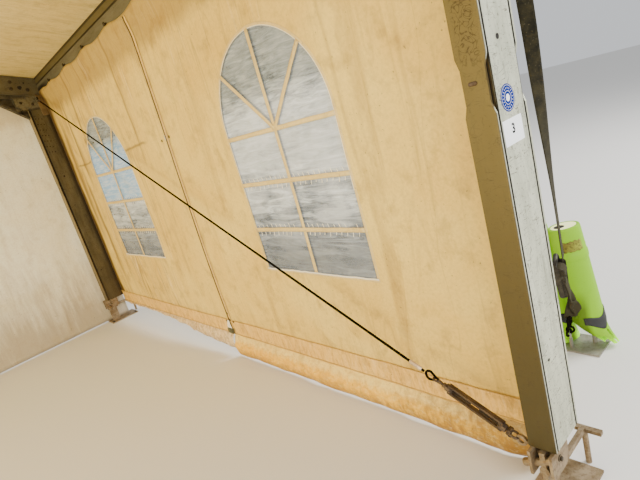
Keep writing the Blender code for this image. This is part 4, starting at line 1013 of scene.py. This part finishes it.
def front_skirt(u, v):
    """Full and round, tucked under along the ground."""
    y = -2.398 + 2.390 * u
    z = SKIRT_FOOT + (SKIRT_TOP - SKIRT_FOOT) * v
    roll = sin(pi * min(1.0, v / 0.92)) ** 0.8
    tuck = 0.012 + 0.012 * noise_at(y * 2.3, 0.0, 4.0)
    near_leg = ease(-2.22, -2.39, y)
    rough = 0.011 * noise_at(y * 9.0, z * 14.0, 2.2) + 0.006 * noise_at(y * 30.0, z * 34.0, 5.2)
    inward = (0.030 + 0.012 * noise_at(y * 1.7, 0.4, 7.7)) * roll + tuck * (1 - v) + rough * roll
    inward -= near_leg * 0.034 * (1 - v)
    if v > 0.95:
        inward = max(inward, 0.004)
    return Vector((WALL_X - wall_inward(y, 0.2) - inward, y,
                   z + 0.008 * noise_at(y * 6.0, 2.0, 1.0) * (1 - v)))


def rear_skirt(u, v):
    """Short, crumpled and lifting towards the rear leg."""
    y = 0.010 + 2.388 * u
    lift = 0.052 + 0.128 * ease(0.0, 1.6, y) + 0.012 * noise_at(y * 5.0, 1.0, 3.0)
    lift = min(lift + 0.006 * noise_at(y * 17.0, 1.0, 3.0), 0.182)
    z = lift + (SKIRT_TOP - lift) * v
    rough = 0.013 * noise_at(y * 8.0, z * 18.0, 6.2) + 0.006 * noise_at(y * 24.0, z * 40.0, 1.2)
    inward = 0.022 * sin(pi * v) + 0.010 * (1 - v) + rough * (1 - v * 0.9)
    return Vector((WALL_X - wall_inward(y, 0.2) - max(0.003, inward), y, z))


def panel_seam():
    """Where the two panels of a side wall are laced: a welted flap, a dark cord beside it that is the painted
    shadow under the flap's edge, and a stitched edge."""
    line = [(0.004 - 0.040 * ease(0.5, 2.5, z) + 0.003 * noise_at(1.0, z * 3, 2.0), z)
            for z in spaced(2.560, 0.215, 110)]
    flap = strip_on_wall("flap", [(y - 0.018, z) for y, z in line], 0.030, 0.0040, 0.0020)
    on_both_sides(flap, "panel_seam", SEAM_CLOTH)
    edge = strip_on_wall("edge", [(y - 0.033, z) for y, z in line], 0.0036, 0.0052, 0.0012)
    on_both_sides(edge, "seam_edge", SEAM_LINE)
    # painted shadow: a dark cord along the flap's edge
    rope = bpy.data.curves.new("seam_shadow_cord", "CURVE")
    rope.dimensions = "3D"
    rope.bevel_depth = 0.0050
    rope.bevel_resolution = 2
    rope.use_fill_caps = True
    spline = rope.splines.new("POLY")
    spline.points.add(len(line) - 1)
    for p, (y, z) in zip(spline.points, line):
        p.co = (*wall_point(y, z, 0.0050), 1)
    take_up(in_scene("seam_shadow_cord", rope))
    bpy.ops.object.convert(target="MESH")
    on_both_sides(smooth_over(bpy.context.object, 60), "seam_shadow_cord", SEAM_SHADOW)


def side_walls():
    """Each side wall's two panels, with their windows, hems and skirts, and the seam between them."""
    for run, end in (("front", -1), ("rear", 1)):
        middle = end * WINDOW_MIDDLE
        y0, y1 = (-2.444, -0.006) if end < 0 else (0.012, 2.444)
        made = {
            "wall_sheet": (wall_sheet(end, middle), WALL_CLOTH, "wall_panel"),
            "window_film_sheet": (film_sheet(middle), FILM, "window_film"),
            "window_bars": (window_bars(middle), BAR_CLOTH, None),
            "window_sill": (join("sill_and_fold_glints", window_sill(middle), film_fold_glints_and_edge(middle)),
                            EDGE_CLOTH, None),
            "wall_hem": (wall_hem(y0, y1), HEM_CLOTH, None),
            "hem_fold": (join("hem_folds", hem_fold(y0, y1, HEM_TOP), hem_fold(y0, y1, 0.197)),
                         HEM_EDGE, None),
            "wall_skirt": (cloth("wall_skirt", 200, 18, front_skirt if end < 0 else rear_skirt),
                           SKIRT_CLOTH if end < 0 else SKIRT_PALE, None)}
        for side, mirror in MIRROR.items():
            for stem, (piece, finish, replaced) in made.items():
                keep_piece(twin(piece, f"{run}_{side}_{stem}", mirror), finish,
                                       replaced and f"{run}_{side}_{replaced}")
        for piece, *_ in made.values():
            bpy.data.objects.remove(piece)
    panel_seam()


# ---------------------------------------------------------------- roof and gables

ROOF_MIDDLE = 2.745 - 0.015 / cos(PITCH)   # height of the roof cloth over the legs' outer faces
EAVE_TURN = 5.0325                         # where the roof cloth turns down
HALF_SPAN = 5.0
PURLIN_STEP = 2.5                          # from purlin to purlin across the span
ROOF_END = 2.447


def roof_height(x):
    """How high the roof cloth's middle is, this far from the ridge."""
    return ROOF_MIDDLE + (HALF_SPAN - abs(x)) * tan(PITCH)


def roof_skin():
    """One cloth from valance to valance over the purlins, a little slack between them."""
    drop = 0.200
    slope = EAVE_TURN / cos(PITCH)
    length = 2 * (slope + drop)

    def point(u, v):
        s = u * length - length / 2
        side = 1 if s > 0 else -1
        y = ROOF_END * (2 * v - 1)
        along = min(abs(s), slope)
        x = along * cos(PITCH)
        z = roof_height(x)
        ripple = 0.0016 * noise_at(x * 1.3, y * 9.0, side * 3.0) + 0.003 * noise_at(x * 0.7, y * 2.0, 5.0)
        span = sin(pi * (x % PURLIN_STEP) / PURLIN_STEP) ** 2 * ease(ROOF_END, 2.1, abs(y))
        z += (ripple - 0.012) * span
        if abs(s) > slope:
            down = abs(s) - slope
            wave = 0.006 * sin(y * 11.0 + 2 * noise_at(y, 1, 1)) * down / drop
            turn = min(1.0, down / 0.02)
            x = EAVE_TURN + 0.0015 * turn + 0.004 * down / drop + wave * ease(0.0, 0.15, down)
            z = roof_height(EAVE_TURN) - down
        return Vector((side * x, y, z))

    skin = cloth("roof_skin", 220, 98, point)
    keep_piece(skin, ROOF_CLOTH, "roof_sheet")


def gable_sheet(name, x0, x1, bottom, plane, away, seed):
    """A gable cloth up to the rafters, bellied a little away from the frame."""
    def point(u, v):
        x = x0 + (x1 - x0) * u
        top = roof_height(x) - 0.004
        z = bottom + (top - bottom) * v
        edge = ease(0.0, 0.30, x - x0) * ease(0.0, 0.30, x1 - x) * ease(0.0, 0.12, top - z)
        belly = (0.022 * (0.5 + 0.8 * noise_at(x * 0.8, z * 0.6, seed))
                 + 0.006 * noise_at(x * 2.9, z * 1.1, seed + 3))
        pull = 0.0025 * noise_at(x * 9.0, z * 1.3, seed + 5)
        return Vector((x, plane + away * max(0.0, (belly + pull) * edge), z))

    columns = max(24, int((x1 - x0) / 0.035))
    return cloth(name, columns, 72 if bottom < 1 else 30, point)


def gables():
    """The closed rear gable's three panels, and the triangle over the open front."""
    low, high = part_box("rear_right_gable_panel")
    plane = (low.y + high.y) / 2
    for name, x0, x1 in (("rear_right_gable", low.x, high.x),
                         ("rear_middle_gable", -low.x + 0.0003, low.x - 0.0003),
                         ("rear_left_gable", -high.x, -low.x)):
        sheet = gable_sheet(name + "_sheet", x0, x1, low.z, plane, 1, x0)
        keep_piece(sheet, GABLE_CLOTH, name + "_panel")
    low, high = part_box("front_gable_panel")
    sheet = gable_sheet("front_gable_sheet", low.x, high.x, low.z, (low.y + high.y) / 2, -1, 11.0)
    keep_piece(sheet, GABLE_CLOTH, "front_gable_panel")


# ---------------------------------------------------------------- fixings on the frame

def washered_bolt():
    """An M12 hexagon head on a flat washer, standing on the XY plane."""
    washer = soften(disc(0.0135, 0.0, 0.0025, 20), 0.0006, 1)
    head = inset(disc(0.0100, 0.00225, 0.00975, 6), 0.002, 0.0008)
    return join("washered_bolt", washer, soften(head, 0.0005, 1))


def drilled_hole(radius, sides=12):
    """The burred rim and dark inside of a drilled hole, on the XY plane."""
    return smooth_over(inset(disc(radius, 0.0, 0.0010, sides), radius * 0.18, -0.0007))


def on_face(x, y, z, outwards):
    """A place on a face that looks along outwards, clear of it by a tenth of a millimetre."""
    return axes(Vector((x, y, z)) + Vector(outwards) * 0.0001, outwards, (0, 0, 1))


def frame_fixings():
    """On each frame: bolts, drilled holes and a torn opening in the rafters, drilled holes down the legs'
    faces."""
    bolts, torn, holes = [], [], {0.0052: [], 0.0060: [], 0.0080: [], 0.0090: []}
    ahead = (0, -1, 0)
    for sx in (1, -1):
        for y, out in ((REAR_FACE, ahead), (FRONT_FACE + (LEG_HIGH.y - LEG_LOW.y), (0, 1, 0))):
            for x, z in ((4.746, 2.736), (4.735, 2.670), (4.875, 2.635)):
                bolts.append(on_face(sx * x, y, z, out))
            holes[0.0080].append(on_face(sx * 4.863, y, 2.707, out))
            torn.append(on_face(sx * 4.812, y, 2.668, out))
        for y in (FRONT_FACE, REAR_FACE):
            for row in range(7):
                for column in range(3):
                    x, z = 4.838 + 0.0285 * column, 2.342 - 0.0585 * row - 0.006 * column
                    holes[0.0052].append(on_face(sx * x, y, z, ahead))
            holes[0.0090].append(on_face(sx * 4.883, y, 1.714, ahead))
            holes[0.0060].append(on_face(sx * 4.860, y, 0.62, ahead))
    bolts = spread(washered_bolt(), "rafter_bolts", [m @ Matrix.Scale(1.3, 4) for m in bolts])
    keep_piece(bolts, BOLT_STEEL)
    drilled = [spread(drilled_hole(radius), "drilled", places) for radius, places in holes.items()]
    keep_piece(join("drilled_holes", *drilled), SHADOW)
    # where a fitting has been drilled out of a rafter
    ragged = reshape(drilled_hole(0.021, 18),
                     lambda co: co.x * 37 % 0.011 > 0.005 and hypot(co.x, co.y) > 0.012, (0.80, 0.86, 1))
    keep_piece(spread(ragged, "torn_openings", torn), SHADOW)
    # the oval slot in each leg's inner side
    slot = reshape(drilled_hole(0.0070, 20), lambda co: co.y > 0, by=(0, 0.017, 0))
    places = [on_face(sx * LEG_LOW.x, sy * 2.503, 1.600, (-sx, 0, 0)) for sx in (1, -1) for sy in (1, -1)]
    keep_piece(spread(slot, "leg_slots", places), BUCKLE_STEEL)


def leg_marks():
    """On the near leg: a round blue sticker with plain rings, and a white tag with a plain number."""
    out = (0, -1, 0)
    centre = on_face(4.883, FRONT_FACE, 1.532, out)
    top, ink, ticks = 0.0008, 0.0003, 18    # the sticker's thickness, that of its rings, and how many ticks
    sticker = join("round_sticker", turned([(0.0420, 0.0002), (0.0425, 0.0005), (0.0422, top)], 48))
    keep_piece(place(sticker, centre), STICKER_BLUE)
    pale = []
    for inner, outer in ((0.0374, 0.0383), (0.0200, 0.0210), (0.0000, 0.0115)):
        circle = turned([(outer, top), (outer, top + ink)], 48)
        pale.append(open_through(circle, (0, 0, 1), outer - inner) if inner else circle)
    for i in range(ticks):
        tick = soften(block((0.0014, 0.0056, 0.0004), (0, 0.0292, 0.0009)), 0.0001, 1)
        pale.append(moved(tick, turn=2 * pi * i / ticks))
    keep_piece(place(join("sticker_rings", *pale), centre), PALE_VINYL)
    tag = join("number_tag", soften(block((0.1235, 0.080, 0.0008), (0, 0, 0.0006)), 0.0003, 1))
    keep_piece(place(tag, axes((4.8865, FRONT_FACE - 0.0001, 1.430), out, (1, 0, 0.02))), PALE_VINYL)
    put_down()
    bpy.ops.object.text_add()
    text = bpy.context.object.data
    text.body = "3"
    text.align_x = text.align_y = "CENTER"
    text.size = 0.042
    text.extrude = 0.0002
    text.offset = 0.0012
    bpy.ops.object.convert(target="MESH")
    number = moved(join("tag_number", bpy.context.object), (4.886, FRONT_FACE - 0.0014, 1.436), pi / 2, "X")
    keep_piece(face_out(number), PRINT)


def purlin_hooks():
    """Steel hooks on the eave purlin's inner face, each with a toggle through the wall's eyelet."""
    plate = soften(block((0.040, 0.024, 0.0026), (0, 0, 0.0013)), 0.0008)
    shank = bar((0, -0.002, 0.003), (0, -0.002, 0.017), 0.0042, 10, 0.0008)
    claw = moved(ring(0.0105, 0.0036, 16, 8), (0, -0.006, 0.015), pi / 2, "X")
    toggle = bar((-0.017, -0.002, 0.011), (0.017, -0.002, 0.011), 0.0065, 10, 0.001)
    hook = join("hook", plate, shank, claw, toggle)
    places = []
    for side in (1, -1):
        for k in range(-5, 6):
            y = HOOK_FIRST + HOOK_STEP * k
            if abs(y) < 2.25:
                places.append(axes((side * (PURLIN_FACE - 0.0001), y, 2.603), (-side, 0, 0), (0, 1, 0)))
    keep_piece(spread(hook, "wall_hooks", places), BOLT_STEEL)


def corner_flaps():
    """Where a wall's edge leaves the leg's groove, its flap laps the bracket and closes the corner."""
    def point(u, v):
        x = 4.920 + 0.068 * u
        z = 2.360 + 0.195 * v + 0.030 * (1 - u) * v
        return Vector((x, -2.4458 + 0.0010 * noise_at(x * 40, z * 20, 2), z))
    at_four_corners(cloth("corner_flap", 8, 14, point, thickness=0.0016), "corner_flap", FLAP_CLOTH)


def lacing_fittings():
    """The buckle, pale flap and eyelets at the foot of the seam between the two panels."""
    body = soften(inset(block((0.074, 0.040, 0.013)), 0.007, -0.004), 0.002)
    crossbar = bar((0, -0.017, 0.004), (0, 0.017, 0.004), 0.0045, 10, 0.001)
    tongue = soften(block((0.030, 0.022, 0.004), (-0.012, 0, 0.006)), 0.001)
    buckle = join("buckle", body, crossbar, tongue)
    place(buckle, axes(wall_point(0.012, 0.222, 0.017), (-1, 0, 0.05), (0, 1, 0.06)))
    on_both_sides(buckle, "lacing_buckle", LACING)

    def flap_point(u, v):
        width = 0.020 + 0.030 * (1 - v)
        y = 0.022 + (u - 0.5) * width * 1.3 - 0.014 * v
        z = 0.238 + 0.075 * v
        return wall_point(y, z, 0.012 + 0.004 * sin(pi * v) + 0.003 * noise_at(y * 30, z * 20, 1))
    flap = cloth("lacing_flap", 8, 12, flap_point, thickness=0.0018)
    on_both_sides(flap, "lacing_flap", EDGE_CLOTH)

    eye = moved(ring(0.0075, 0.0022, 16, 8), turn=pi / 2, about="X")
    places = []
    for y, z in ((-0.012, 0.316), (0.042, 0.300), (-0.058, 0.306), (-0.006, 0.372), (0.046, 1.740),
                 (-0.080, 1.752)):
        for side in (1, -1):
            point = wall_point(y, z, 0.0085)
            places.append(axes((side * point.x, y, z), (-side, 0, 0), (0, 1, 0)))
    keep_piece(spread(eye, "lacing_eyelets", places), BOLT_STEEL)


# ---------------------------------------------------------------- wind brace

BRACE_TOP = Vector((4.915, 2.4085, 2.525))      # middle of the eye on the rear bracket
BRACE_FOOT = Vector((4.825, -2.4085, 0.250))    # middle of the eye on the front foot


def brace_reach(y):
    """How far down the brace a point with this Y is."""
    return (BRACE_TOP - BRACE_FOOT).length * (BRACE_TOP.y - y) / (BRACE_TOP.y - BRACE_FOOT.y)


def wind_brace():
    """Wire rope with a thimble and pressed sleeve at each end, an open turnbuckle and a shackle."""
    length = (BRACE_TOP - BRACE_FOOT).length
    down = axes(BRACE_TOP, BRACE_FOOT - BRACE_TOP, (0, 0.4, 1))
    sleeve_at, loop_at = brace_reach(-1.917), brace_reach(-1.980)
    body_from, body_to = brace_reach(-2.092), brace_reach(-2.352)
    eye_at = brace_reach(-2.037)

    strands, core, crest, lay = 6, 0.0056, 0.0068, 0.080
    root, thread, pitch = 0.0066, 0.0072, 0.0030

    def fit(name, finish, parts, replaced=None):
        """Joins what was drawn along the brace, its upper eye at 0, and puts it in place on both sides."""
        on_both_sides(place(join(name, *parts), down), name, finish, replaced)

    # the rope, with teardrop loops round its thimbles
    fit("brace_rope", ROPE_STEEL, [
        moved(screwed(core, crest, strands, lay, sleeve_at - 0.085, 10), (0, 0, 0.095)),
        moved(ring(0.0230, 0.0058, 28, 10, 0.026, 0.72), (0, 0, eye_at - 0.018), pi, "Y"),
        moved(ring(0.0190, 0.0058, 28, 10, 0.022, 0.62), (0, 0, 0.018), pi, "Y"),
        bar((0, 0, loop_at - 0.014), (0, 0, loop_at + 0.012), 0.0062, 10)], "brace_wire")
    for name, middle, finish in (("low_brace_sleeve", (sleeve_at + loop_at) / 2, SLEEVE_METAL),
                                 ("top_brace_sleeve", 0.078, BUCKLE_STEEL)):
        sleeve = turned([(0.0078, -0.033), (0.0095, -0.030), (0.0098, 0.026), (0.0075, 0.033)], 20)
        sleeve = smooth_over(place(sleeve, Matrix.Diagonal((1.15, 0.80, 1, 1))))
        fit(name, finish, [moved(sleeve, (0, 0, middle))])

    # the turnbuckle's open body: two flat rails between end bosses
    long, middle = body_to - body_from, (body_from + body_to) / 2
    body = open_through(block((0.050, 0.021, long - 0.030), (0, 0, middle)), (0, 1, 0), 0.0115,
                        (1, 1, (long - 0.075) / (long - 0.053)), middle)
    parts = [soften(body, 0.0028)]
    for start, turn in ((body_from, 0.0), (body_to, pi)):
        boss = turned([(0.0125, 0.0), (0.0165, 0.004), (0.0170, 0.026), (0.0120, 0.034)], 8)
        parts.append(moved(smooth_over(boss, 25), (0, 0, start), turn, "X"))
    fit("turnbuckle_body", BUCKLE_STEEL, parts, "turnbuckle")

    # its screws, with the upper one's eye, neck and nut
    upper_end, lower_start = brace_reach(-2.204), brace_reach(-2.240)
    parts = [moved(screwed(root, thread, 1, pitch, end - start, 8), (0, 0, start))
             for start, end in ((eye_at + 0.030, upper_end), (lower_start, length - 0.052))]
    neck = smooth_over(turned([(0.0098, 0.0), (0.0085, 0.010), (0.0070, 0.018)], 16))
    nut = soften(turned([(0.0125, 0), (0.0125, 0.010)], 6), 0.001)
    fit("turnbuckle_rods", BUCKLE_STEEL, parts + [
        moved(ring(0.0125, 0.0052), (0, 0, eye_at + 0.013), radians(70)),
        moved(neck, (0, 0, eye_at + 0.024)), moved(nut, (0, 0, body_from - 0.011))])

    # bow shackle between the lower screw and the foot's eye
    head = soften(turned([(0.0095, 0), (0.0095, 0.008)], 6), 0.001)
    fit("brace_shackle", BUCKLE_STEEL, [
        moved(ring(0.0150, 0.0055, 24, 10, 0.016, 0.92), (0, 0, length - 0.030), pi / 2),
        moved(soften(block((0.030, 0.030, 0.018)), 0.004), (0, 0, length - 0.052)),
        bar((-0.022, 0, length - 0.046), (0.026, 0, length - 0.046), 0.0058),
        moved(head, (-0.024, 0, length - 0.046), pi / 2, "Y")])


# ---------------------------------------------------------------- guy straps and anchors

GUY_TOP = Vector((5.0813, -2.54, 2.62))         # middle of the eye on the bracket's end plate
GUY_FOOT = Vector((5.875, -2.170, 0.085))       # middle of the ground anchor's eye
GUY_LENGTH = (GUY_TOP - GUY_FOOT).length
STRAP_WIDTH = 0.060

OUTER_SIDE = (0.64, 0.77)               # the way from the straight line between a guy's eyes to its strap
RATCHET_TURN = radians(-14)                     # of the ratchet about the strap


def strap_piece(name, path, widths, ways, thickness=0.0032):
    """Webbing along path points, each with its own width and widthwise direction."""
    last = len(path) - 1

    def point(u, v):
        i = round(v * last)
        return Vector(path[i]) + Vector(ways[i]).normalized() * (u - 0.5) * widths[i]

    return cloth(name, 6, last, point, thickness=thickness)


def guy_strap():
    """Wide webbing from the bracket's eye, turning edge-on to the ratchet, and on to the anchor's hook."""
    local = axes(GUY_TOP, GUY_FOOT - GUY_TOP, (1, 0, 0.3))
    ratchet_at = GUY_LENGTH * 0.772 + 0.040

    def aside(s, x=0.0, y=0.0):
        """The strap stands a little to the outer side of the straight line between its eyes."""
        much = 0.022 * ease(0.1, 1.0, s) * ease(GUY_LENGTH - 0.06, GUY_LENGTH - 0.30, s)
        return x + OUTER_SIDE[0] * much, y + OUTER_SIDE[1] * much, s

    def width_way(s):
        """The strap's widthwise direction, turning from flat to edge-on as it goes down."""
        turn = radians(80 - 34 * ease(0.0, 0.9, s) - 60 * ease(0.8, 1.85, s))
        return (cos(turn), sin(turn), 0)

    path = [aside(s) for s in spaced(0.020, ratchet_at, 90)]
    main = strap_piece("main", path, [0.030 + (STRAP_WIDTH - 0.030) * ease(0.0, 0.14, p[2]) for p in path],
                       [width_way(p[2]) for p in path])
    lap = [aside(s) for s in spaced(0.030, 0.330, 12)]
    ways = [width_way(p[2]) for p in lap]
    lap = [Vector(p) + Vector((-w[1], w[0], 0)) * 0.0042 for p, w in zip(lap, ways)]
    doubled = strap_piece("doubled", lap,
                          [0.034 + (STRAP_WIDTH - 0.036) * ease(0.0, 0.14, p[2]) for p in lap], ways)
    # the webbing wound on the ratchet's axle, in loose turns
    axle = ratchet_at + 0.082
    turns = [(0.006 + 0.029 * (i / 60), radians(18 * i)) for i in range(61)]
    wound = strap_piece("wound", [(0.0, r * cos(a), axle + r * sin(a) * 1.15) for r, a in turns],
                        [0.070] * 61, [(1.0, 0.0, 0.0)] * 61, 0.0028)
    moved(wound, (-0.008 * OUTER_SIDE[0], -0.008 * OUTER_SIDE[1], 0), RATCHET_TURN)
    # lower piece, from the ratchet to the hook, its face turned to the front
    path, widths, ways = [], [], []
    for s in spaced(0.0, 1.0, 14):
        path.append(aside(ratchet_at + 0.200 + (GUY_LENGTH - 0.350 - ratchet_at) * s, 0.012 * sin(pi * s),
                          0.010 * s))
        widths.append(0.060 + 0.012 * ease(0, 0.6, s))
        turn = RATCHET_TURN + radians(62) * ease(0.0, 1.0, s)
        ways.append((cos(turn), sin(turn), 0.10))
    lower = strap_piece("lower", path, widths, ways)
    # the free tail: down over the ratchet, then out to the side
    path, ways = [], []
    for s in spaced(0.0, 1.0, 30):
        out = ease(0.42, 1.0, s) ** 1.2
        near = 0.020 + 0.030 * sin(pi * min(1.0, s * 1.3))
        path.append(aside(axle + 0.030 + 0.290 * s - 0.012 * out,
                          OUTER_SIDE[0] * (0.052 * out - 0.018) - 0.58 * near,
                          OUTER_SIDE[1] * (0.052 * out - 0.018) + 0.81 * near))
        face = ease(0.30, 0.80, s)
        ways.append((cos(RATCHET_TURN) * (1 - face) - 0.38 * face,
                     sin(RATCHET_TURN) * (1 - face) - 0.46 * face, 0.80 * face))
    tail = strap_piece("tail", path, [0.066] * 31, ways)
    webbing = place(join("guy_strap", main, doubled, wound, lower, tail), local)
    at_four_corners(webbing, "guy_strap_webbing", WEBBING, "guy_strap")

    # the ratchet: two side plates, a handle, its axle and pawl bars
    parts = []
    on_edge = Matrix(((0, 0, 1, 0), (1, 0, 0, 0), (0, 1, 0, 0), (0, 0, 0, 1)))
    for side in (-1, 1):
        for radius, reach, spot, tilt in ((0.020, 0.165, (side * 0.040, 0.0, ratchet_at + 0.050), 0),
                                          (0.015, 0.200, (side * 0.045, -0.024, ratchet_at + 0.020), -5)):
            plate = reshape(turned([(radius, 0), (radius, 0.0028)], 20), lambda co: co.y > 0,
                            by=(0, reach, 0))
            parts.append(moved(place(soften(plate, 0.0008, 1), on_edge), spot, radians(tilt), "X"))
    for half, y, s, radius, sides in ((0.050, 0.0, 0.082, 0.0085, 14), (0.044, 0.0, 0.205, 0.0065, 12),
                                      (0.048, -0.024, 0.012, 0.0125, 12), (0.044, -0.030, 0.140, 0.0055, 12)):
        parts.append(bar((-half, y, ratchet_at + s), (half, y, ratchet_at + s), radius, sides))
    parts.append(soften(block((0.088, 0.007, 0.050), (0, -0.026, ratchet_at + 0.034)), 0.0025))
    knob = soften(turned([(0.010, 0), (0.0105, 0.007)], 16), 0.0015)
    parts.append(moved(knob, (0.050, 0.0, axle), pi / 2, "Y"))
    steel = moved(join("ratchet", *parts), (0.006 * OUTER_SIDE[0], 0.006 * OUTER_SIDE[1], 0), RATCHET_TURN)
    at_four_corners(place(steel, local), "strap_ratchet", RATCHET_STEEL)

    # the double claw hook in the anchor's eye, and the strap's ring in the bracket's eye
    low = GUY_LENGTH - 0.155
    parts = [bar((-0.038, 0.010, low), (0.038, 0.010, low), 0.0070),
             moved(ring(0.0200, 0.0050, 20, 10, 0.012), (0, 0, 0.020), radians(66))]
    for side in (-1, 1):
        parts.append(bar((side * 0.026, 0.010, low), (side * 0.012, 0, GUY_LENGTH - 0.056), 0.0075))
        parts.append(moved(ring(0.0190, 0.0058, 20, 10, 0.008), (side * 0.012, 0, GUY_LENGTH - 0.032),
                           radians(40 + 24 * side)))
    at_four_corners(place(join("hook", *parts), local), "strap_hook", ROPE_STEEL)


COVER_FOOT = (5.965, (-2.262, -2.086), 0.0103)  # where the two covers of an anchor stand: x, each one's y, z
COVER_LEAN = 0.085
COVER_TALL = 0.740 - 0.0103
COVER_RADIUS = 0.0838


def tube_point(angle, height, away=0.0):
    """A place on the outside of a cover, angle 0 towards +X, height over its foot."""
    return Vector(((COVER_RADIUS + away) * cos(angle), (COVER_RADIUS + away) * sin(angle), height))


def cover_tube(crushed):
    """A tube with a ring joint; one foot is crushed to a forked tail, the other flares."""
    foot_rings = (0.120, 0.090, 0.060, 0.030, 0.006)
    tube = turned([(COVER_RADIUS, height) for height in (*foot_rings[::-1], 0.150)] + [
        (0.0835, 0.230), (0.0835, 0.400), (0.0835, 0.520), (0.0868, 0.524), (0.0874, 0.541), (0.0868, 0.560),
        (0.0838, 0.565), (0.0830, 0.620), (0.0825, 0.675), (0.0822, 0.692), (0.0800, 0.7025),
        (0.0740, 0.7060), (0.0640, 0.7045)], 72, (False, False))

    def round_to(co, degrees):
        """How far round the tube from the given angle."""
        turn = Vector((co.x, co.y)).angle_signed(Vector((1, 0))) - radians(degrees)
        return abs((turn + pi) % (2 * pi) - pi)

    if crushed:
        choose(tube, "faces", lambda co, normal: co.z < 0.135 and (
            round_to(co, 258) < 0.20 * (0.150 - co.z) / 0.15 or co.z < 0.055 and round_to(co, 165) < 0.9))
        bpy.ops.mesh.delete(type="FACE")
        bpy.ops.object.mode_set(mode="OBJECT")
        for height in foot_rings:
            down = (0.150 - height) / 0.144
            reshape(tube, lambda co: abs(co.z - height) < 0.004, (1 - 0.62 * down, 1 - 0.58 * down, 1),
                    (0.010 * down, -0.085 * down ** 1.4, 0), height)
    else:
        for height, wide in ((0.060, 1.02), (0.030, 1.05), (0.006, 1.09)):
            reshape(tube, lambda co: abs(co.z - height) < 0.004, (wide, wide, 1), height=height)
    modify(tube, "SOLIDIFY", thickness=0.0045, offset=-1.0)
    return smooth_over(tube, 35)


def stake_covers():
    """Bright tubes over the stakes: pale lids with a round hole, worn labels, bands of black rubber."""
    lid = smooth_over(turned([(0.0655, 0.6940), (0.0655, 0.7040), (0.0640, 0.7050)], 48), 30)
    hole = reshape(drilled_hole(0.0270, 24), lambda co: abs(co.x + co.y) > 0.02, (1.08, 1.08, 1))
    moved(hole, (-0.016, 0.016, 0.7051))

    # the rubber band dips to a point at the side that the strap leaves free
    def band_point(u, v):
        angle = radians(188 + 262 * u)
        dip = abs((angle - radians(244) + pi) % (2 * pi) - pi)
        low = 0.150 - 0.040 * exp(-(dip / 0.50) ** 2)
        high = 0.190 + 0.022 * ease(0.15, 0.9, angle - radians(245)) - 0.012 * exp(-(dip / 0.40) ** 2)
        near = ease(0.150, 0.095, low + (high - low) * v)
        spot = tube_point(angle, low + (high - low) * v + 0.002 * noise_at(cos(angle) * 3, sin(angle) * 3, v),
                          0.0022)
        return spot + Vector((0, -0.014, 0)) * near

    strip = cloth("cover_band", 60, 6, band_point, thickness=0.0022)

    # the worn label above the joint: a rough brown patch
    def label_point(u, v):
        angle = radians(184) + radians(70) * u + 0.05 * noise_at(v * 6, u * 2, 1)
        height = 0.576 + (0.058 + 0.008 * noise_at(u * 8, 0, 2)) * v + 0.006 * noise_at(u * 7, v, 4)
        return tube_point(angle, height, 0.0006)

    label = cloth("cover_label", 16, 8, label_point, thickness=0.0008)
    x, rows, z = COVER_FOOT
    places = [axes((x, y, z), (0, COVER_LEAN, COVER_TALL), (1, 0, 0)) for y in rows]
    tubes = join("cover_tubes", place(cover_tube(True), places[0]), place(cover_tube(False), places[1]))
    at_four_corners(tubes, "cover_tubes", NEON, "stake_covers")
    for stem, piece, finish in (("cover_lids", lid, NEON_LID), ("cover_slots", hole, SHADOW),
                                ("cover_bands", strip, RUBBER), ("cover_labels", label, LABEL)):
        at_four_corners(spread(piece, stem, places), stem, finish)


def bolts_at(spots):
    """Washered bolts at points, each with the way that it looks."""
    return join("bolts", *[place(washered_bolt(), axes(point, way, (1, 0, 0) if way[2] else (0, 0, 1)))
                           for point, way in spots])


def foot_fittings():
    """Nuts and washers on the foot's pin and on the ground plate."""
    spots = [((4.829, -2.5456, 0.220), (0, -1, 0)), ((4.829, -2.4544, 0.220), (0, 1, 0))]
    spots += [((x, y, 0.0122), (0, 0, 1)) for x, y in ((4.770, -2.580), (4.770, -2.420), (5.030, -2.420))]
    at_four_corners(bolts_at(spots), "foot_bolts", BOLT_STEEL)


def bracket_fittings():
    """Bolts through each eave bracket's collar."""
    spots = [((x, y, z), (0, way, 0)) for y, way in ((-2.4482, 1), (-2.5518, -1))
             for x, z in ((4.765, 2.520), (4.868, 2.492))]
    at_four_corners(bolts_at(spots), "collar_bolts", BOLT_STEEL)


# ---------------------------------------------------------------- everything together

# What the imported nodes that stay in sight are finished with. The front legs have a finish of their own;
# the rear legs' finish is a darker copy of it, partly dirt and partly painted shade.
NODE_METALS = {"_rafter": RAFTER_METAL, "_purlin": PURLIN_METAL, "_post": POST_METAL,
               "_bracket": BRACKET_STEEL, "_foot": FOOT_STEEL, "_anchor": ANCHOR_STEEL,
               "_leg": REAR_LEG_METAL}
for name, node in nodes.items():
    for stem, finish in NODE_METALS.items():
        if name.endswith(stem):
            node.data.materials.clear()
            node.data.materials.append(LEG_METAL if name.startswith("front") and stem == "_leg" else finish)

studio()
side_walls()
roof_skin()
gables()
frame_fixings()
leg_marks()
purlin_hooks()
lacing_fittings()
corner_flaps()
wind_brace()
guy_strap()
stake_covers()
foot_fittings()
bracket_fittings()
put_down()
